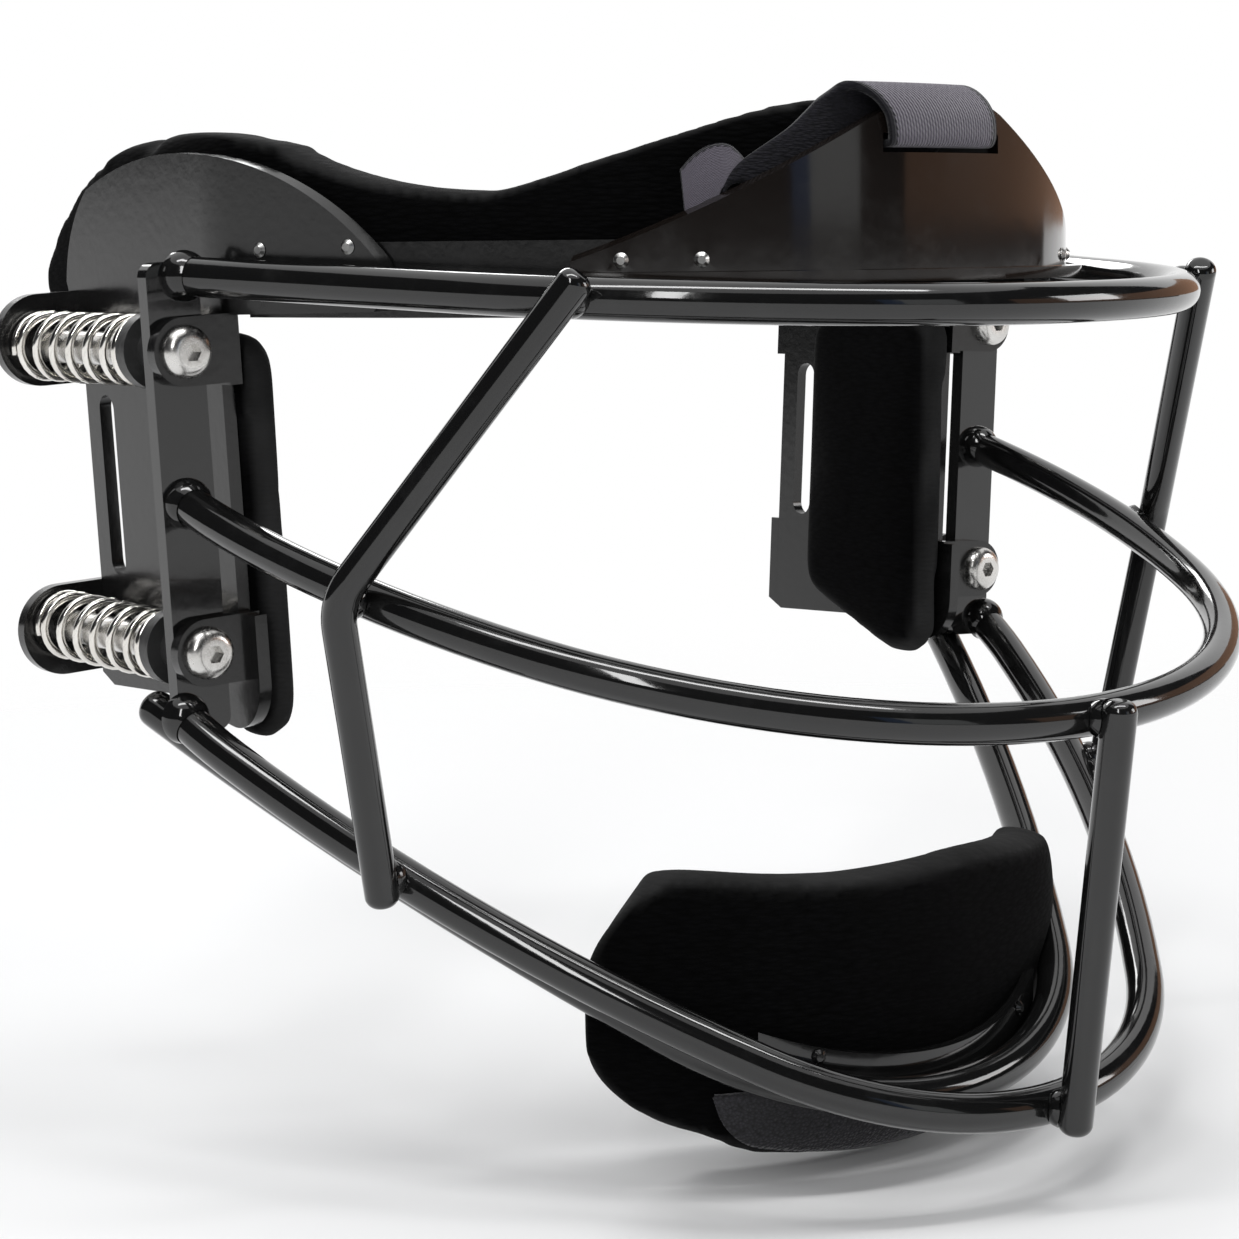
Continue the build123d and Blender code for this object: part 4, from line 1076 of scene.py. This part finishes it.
# %% Edge lines of the strap
strap_lines = [
    # turn, radius, level of the left edge; then of the right edge
    ((9.0, 78.35, 66.6), (-7.6, 78.35, 66.6)),
    ((9.0, 78.35, 64.4), (-7.6, 78.35, 64.4)),
    ((9.1, 78.4, 62.4), (-7.6, 78.4, 62.4)),
    ((9.2, 78.9, 61.4), (-7.6, 78.9, 61.4)),
    ((9.2, 79.8, 61.2), (-7.6, 79.8, 61.2)),
    ((9.2, 81.4, 61.2), (-7.6, 81.4, 61.2)),
    ((9.2, 82.4, 61.4), (-7.6, 82.4, 61.4)),
    ((9.3, 82.85, 62.3), (-7.6, 82.85, 62.3)),
    ((9.5, 83.0, 64.0), (-7.5, 83.0, 64.0)),
    ((10.0, 82.95, 66.3), (-7.2, 82.95, 66.0)),
    ((11.3, 82.5, 68.7), (-6.5, 82.4, 68.1)),
    ((12.7, 81.5, 70.2), (-5.6, 81.4, 69.7)),
    ((13.7, 80.0, 70.9), (-4.9, 80.0, 70.6)),
    ((14.3, 78.5, 70.8), (-4.4, 78.6, 70.7)),
    ((15.2, 77.4, 70.0), (-4.2, 77.6, 69.6)),
    ((16.9, 76.9, 68.6), (-4.4, 76.9, 67.0)),
    ((18.6, 76.8, 66.5), (-4.0, 76.7, 62.8)),
    ((20.8, 76.8, 63.9), (1.0, 76.7, 57.8)),
    ((23.4, 76.8, 61.6), (8.0, 76.6, 53.8)),
    ((26.0, 76.9, 59.4), (15.0, 76.5, 51.2)),
    ((28.0, 77.2, 57.4), (21.0, 76.3, 51.4)),
    ((29.4, 77.6, 54.8), (25.0, 76.3, 56.0)),
    ((30.2, 77.8, 51.8), (28.2, 76.6, 60.6)),
    ((31.4, 77.8, 49.8), (30.6, 77.1, 61.2)),
    ((32.9, 77.8, 48.7), (33.0, 77.5, 59.6)),
    ((34.3, 77.8, 48.4), (34.9, 77.7, 57.0)),
]
print("strap lines", len(strap_lines))


# %% Curves through the edge lines
def on_head(turn, radius, level):
    """A point from its turn about the head's axis, in degrees, its radius and its level."""
    angle = math.radians(turn)
    across = -radius * math.sin(angle) * mm
    forwards = head_axis_y - radius * math.cos(angle) * mm
    return Vector((across, forwards, level * mm))


def curve_at(rows, place):
    """A smooth curve through rows of numbers."""
    index = min(int(place), len(rows) - 2)
    share = place - index
    before = rows[max(index - 1, 0)]
    here, there = rows[index], rows[index + 1]
    beyond = rows[min(index + 2, len(rows) - 1)]
    result = []
    for a, b, c, d in zip(before, here, there, beyond):
        cubic = 3 * (b - c) + d - a
        square = 2 * a - 5 * b + 4 * c - d
        result.append(b + 0.5 * share * (c - a + share * (square + share * cubic)))
    return result


# %% Length along the strap
strap_steps = 5  # rows of faces between two lines
rows = (len(strap_lines) - 1) * strap_steps
line_values = [left + right for left, right in strap_lines]
middle_line = []
for row in range(rows + 1):
    values = curve_at(line_values, row / strap_steps)
    left, right = values[:3], values[3:]
    middle_line.append(on_head(*[(a + b) / 2 for a, b in zip(left, right)]))
marks = [0.0]
for here, there in zip(middle_line, middle_line[1:]):
    marks.append(marks[-1] + (there - here).length)

# %% Skin of the strap
strap_columns = 20
weave_wide = 25.4  # the UV map is in millimetres of the elastic
bm = bmesh.new()
layer = bm.loops.layers.uv.new("weave")
bmesh.ops.create_grid(bm, x_segments=strap_columns, y_segments=rows, size=1.0)
for face in bm.faces:
    for loop in face.loops:
        share = (loop.vert.co.x + 1) / 2
        row = round((loop.vert.co.y + 1) / 2 * rows)
        loop[layer].uv = (share * weave_wide, marks[row] * 1000)
for vertex in bm.verts:
    share = (vertex.co.x + 1) / 2
    row = (vertex.co.y + 1) / 2 * rows
    values = curve_at(line_values, row / strap_steps)
    vertex.co = on_head(*[a + (b - a) * share for a, b in zip(values[:3], values[3:])])
bmesh.ops.recalc_face_normals(bm, faces=bm.faces)
front = [face for face in bm.faces if face.calc_center_median().y < -90 * mm]
if sum(face.normal.y for face in front) > 0:
    bmesh.ops.reverse_faces(bm, faces=bm.faces)
print("strap skin", len(bm.faces), "faces")

# %% [markdown]
# The outer face of the elastic has fine cords that run along it, each broken into short
# stitches, and a plain dark selvedge of a millimetre and a half at both sides.

# %% Pattern of the elastic
cord_pitch = 0.62  # mm, as all lengths of this pattern
stitch_pitch = 1.1
selvedge_from = 11.3  # from the middle of the strap
elastic = bpy.data.materials.new("strap_elastic")
elastic.use_nodes = True
tree = elastic.node_tree
shader = tree.nodes["Principled BSDF"]
own = tree.nodes.new("ShaderNodeUVMap")
own.uv_map = "weave"
parts = tree.nodes.new("ShaderNodeSeparateXYZ")
tree.links.new(own.outputs["UV"], parts.inputs["Vector"])
grain = tree.nodes.new("ShaderNodeTexNoise")
grain.inputs["Scale"].default_value = 1.6
grain.inputs["Detail"].default_value = 6
grain.inputs["Roughness"].default_value = 0.7
tree.links.new(own.outputs["UV"], grain.inputs["Vector"])
cords = math_node(tree, "MULTIPLY", parts.outputs["X"], 2 * math.pi / cord_pitch)
cords = math_node(tree, "ADD", cords, math_node(tree, "MULTIPLY", grain.outputs["Fac"], 3.0))
cords = math_node(tree, "SINE", cords)
stitches = math_node(tree, "MULTIPLY", parts.outputs["Y"], 2 * math.pi / stitch_pitch)
stagger = math_node(tree, "MULTIPLY", parts.outputs["X"], math.pi / cord_pitch)
stitches = math_node(tree, "SINE", math_node(tree, "ADD", stitches, stagger))
relief = math_node(tree, "ADD", cords, math_node(tree, "MULTIPLY", stitches, 0.35))
relief = math_node(tree, "ADD", relief, math_node(tree, "MULTIPLY", grain.outputs["Fac"], 1.5))
# raised: height of the weave, which also paints shade into the grooves between the cords
raised = math_node(tree, "ADD", math_node(tree, "MULTIPLY", relief, 0.25), 0.25, clamp=True)
side = math_node(tree, "SUBTRACT", parts.outputs["X"], weave_wide / 2)
side = math_node(tree, "ABSOLUTE", side)
side = math_node(tree, "ADD", side, math_node(tree, "MULTIPLY", stitches, 0.35))
selvedge = math_node(tree, "SUBTRACT", side, selvedge_from)
selvedge = math_node(tree, "MULTIPLY", selvedge, 3.0, clamp=True)
print("cords", round(weave_wide / cord_pitch), "across the strap")

# %% Strap materials
# Between the cords the colour goes darker: painted shade in the grooves.
groove_shade = (0.045, 0.04, 0.052, 1)
on_cords = (0.21, 0.19, 0.235, 1)
selvedge_colour = (0.014, 0.013, 0.018, 1)
tint = mix_node(tree, raised, groove_shade, on_cords)
tint = mix_node(tree, selvedge, tint, selvedge_colour)
tree.links.new(tint, shader.inputs["Base Color"])
bump = tree.nodes.new("ShaderNodeBump")
bump.inputs["Strength"].default_value = 0.6
bump.inputs["Distance"].default_value = 0.0003
tree.links.new(relief, bump.inputs["Height"])
tree.links.new(bump.outputs["Normal"], shader.inputs["Normal"])
shader.inputs["Roughness"].default_value = 0.85
shader.inputs["Sheen Weight"].default_value = 0.3
shader.inputs["Specular IOR Level"].default_value = 0.2
# The underside is painted near black: painted shade on the side of the strap that turns away from
# the light.
underside_shade = finish_from(
    "strap_underside_shade",
    cloth_group,
    {
        "Colour": grey(0.003, 0.3),
        "Thread colour": (0.02, 0.019, 0.028, 1),
        "Edge colour": grey(0.05),
        "Thread": (900, 900, 2600),
        "Depth": 0.5,
    },
    {"Sheen Weight": 0.1, "Specular IOR Level": 0.2},
)
print("strap materials", elastic.name, underside_shade.name)

# %% Strap piece
strap = piece_from(bm, "elastic_head_strap", elastic)
strap.data.materials.append(underside_shade)
thick = strap.modifiers.new("thick", "SOLIDIFY")
thick.thickness = 1.3 * mm
thick.offset = 0
thick.material_offset = 1
thick.material_offset_rim = 1
settle(strap)
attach(strap, "harness")
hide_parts("head_strap")
print(strap.name, len(strap.data.polygons), "faces")
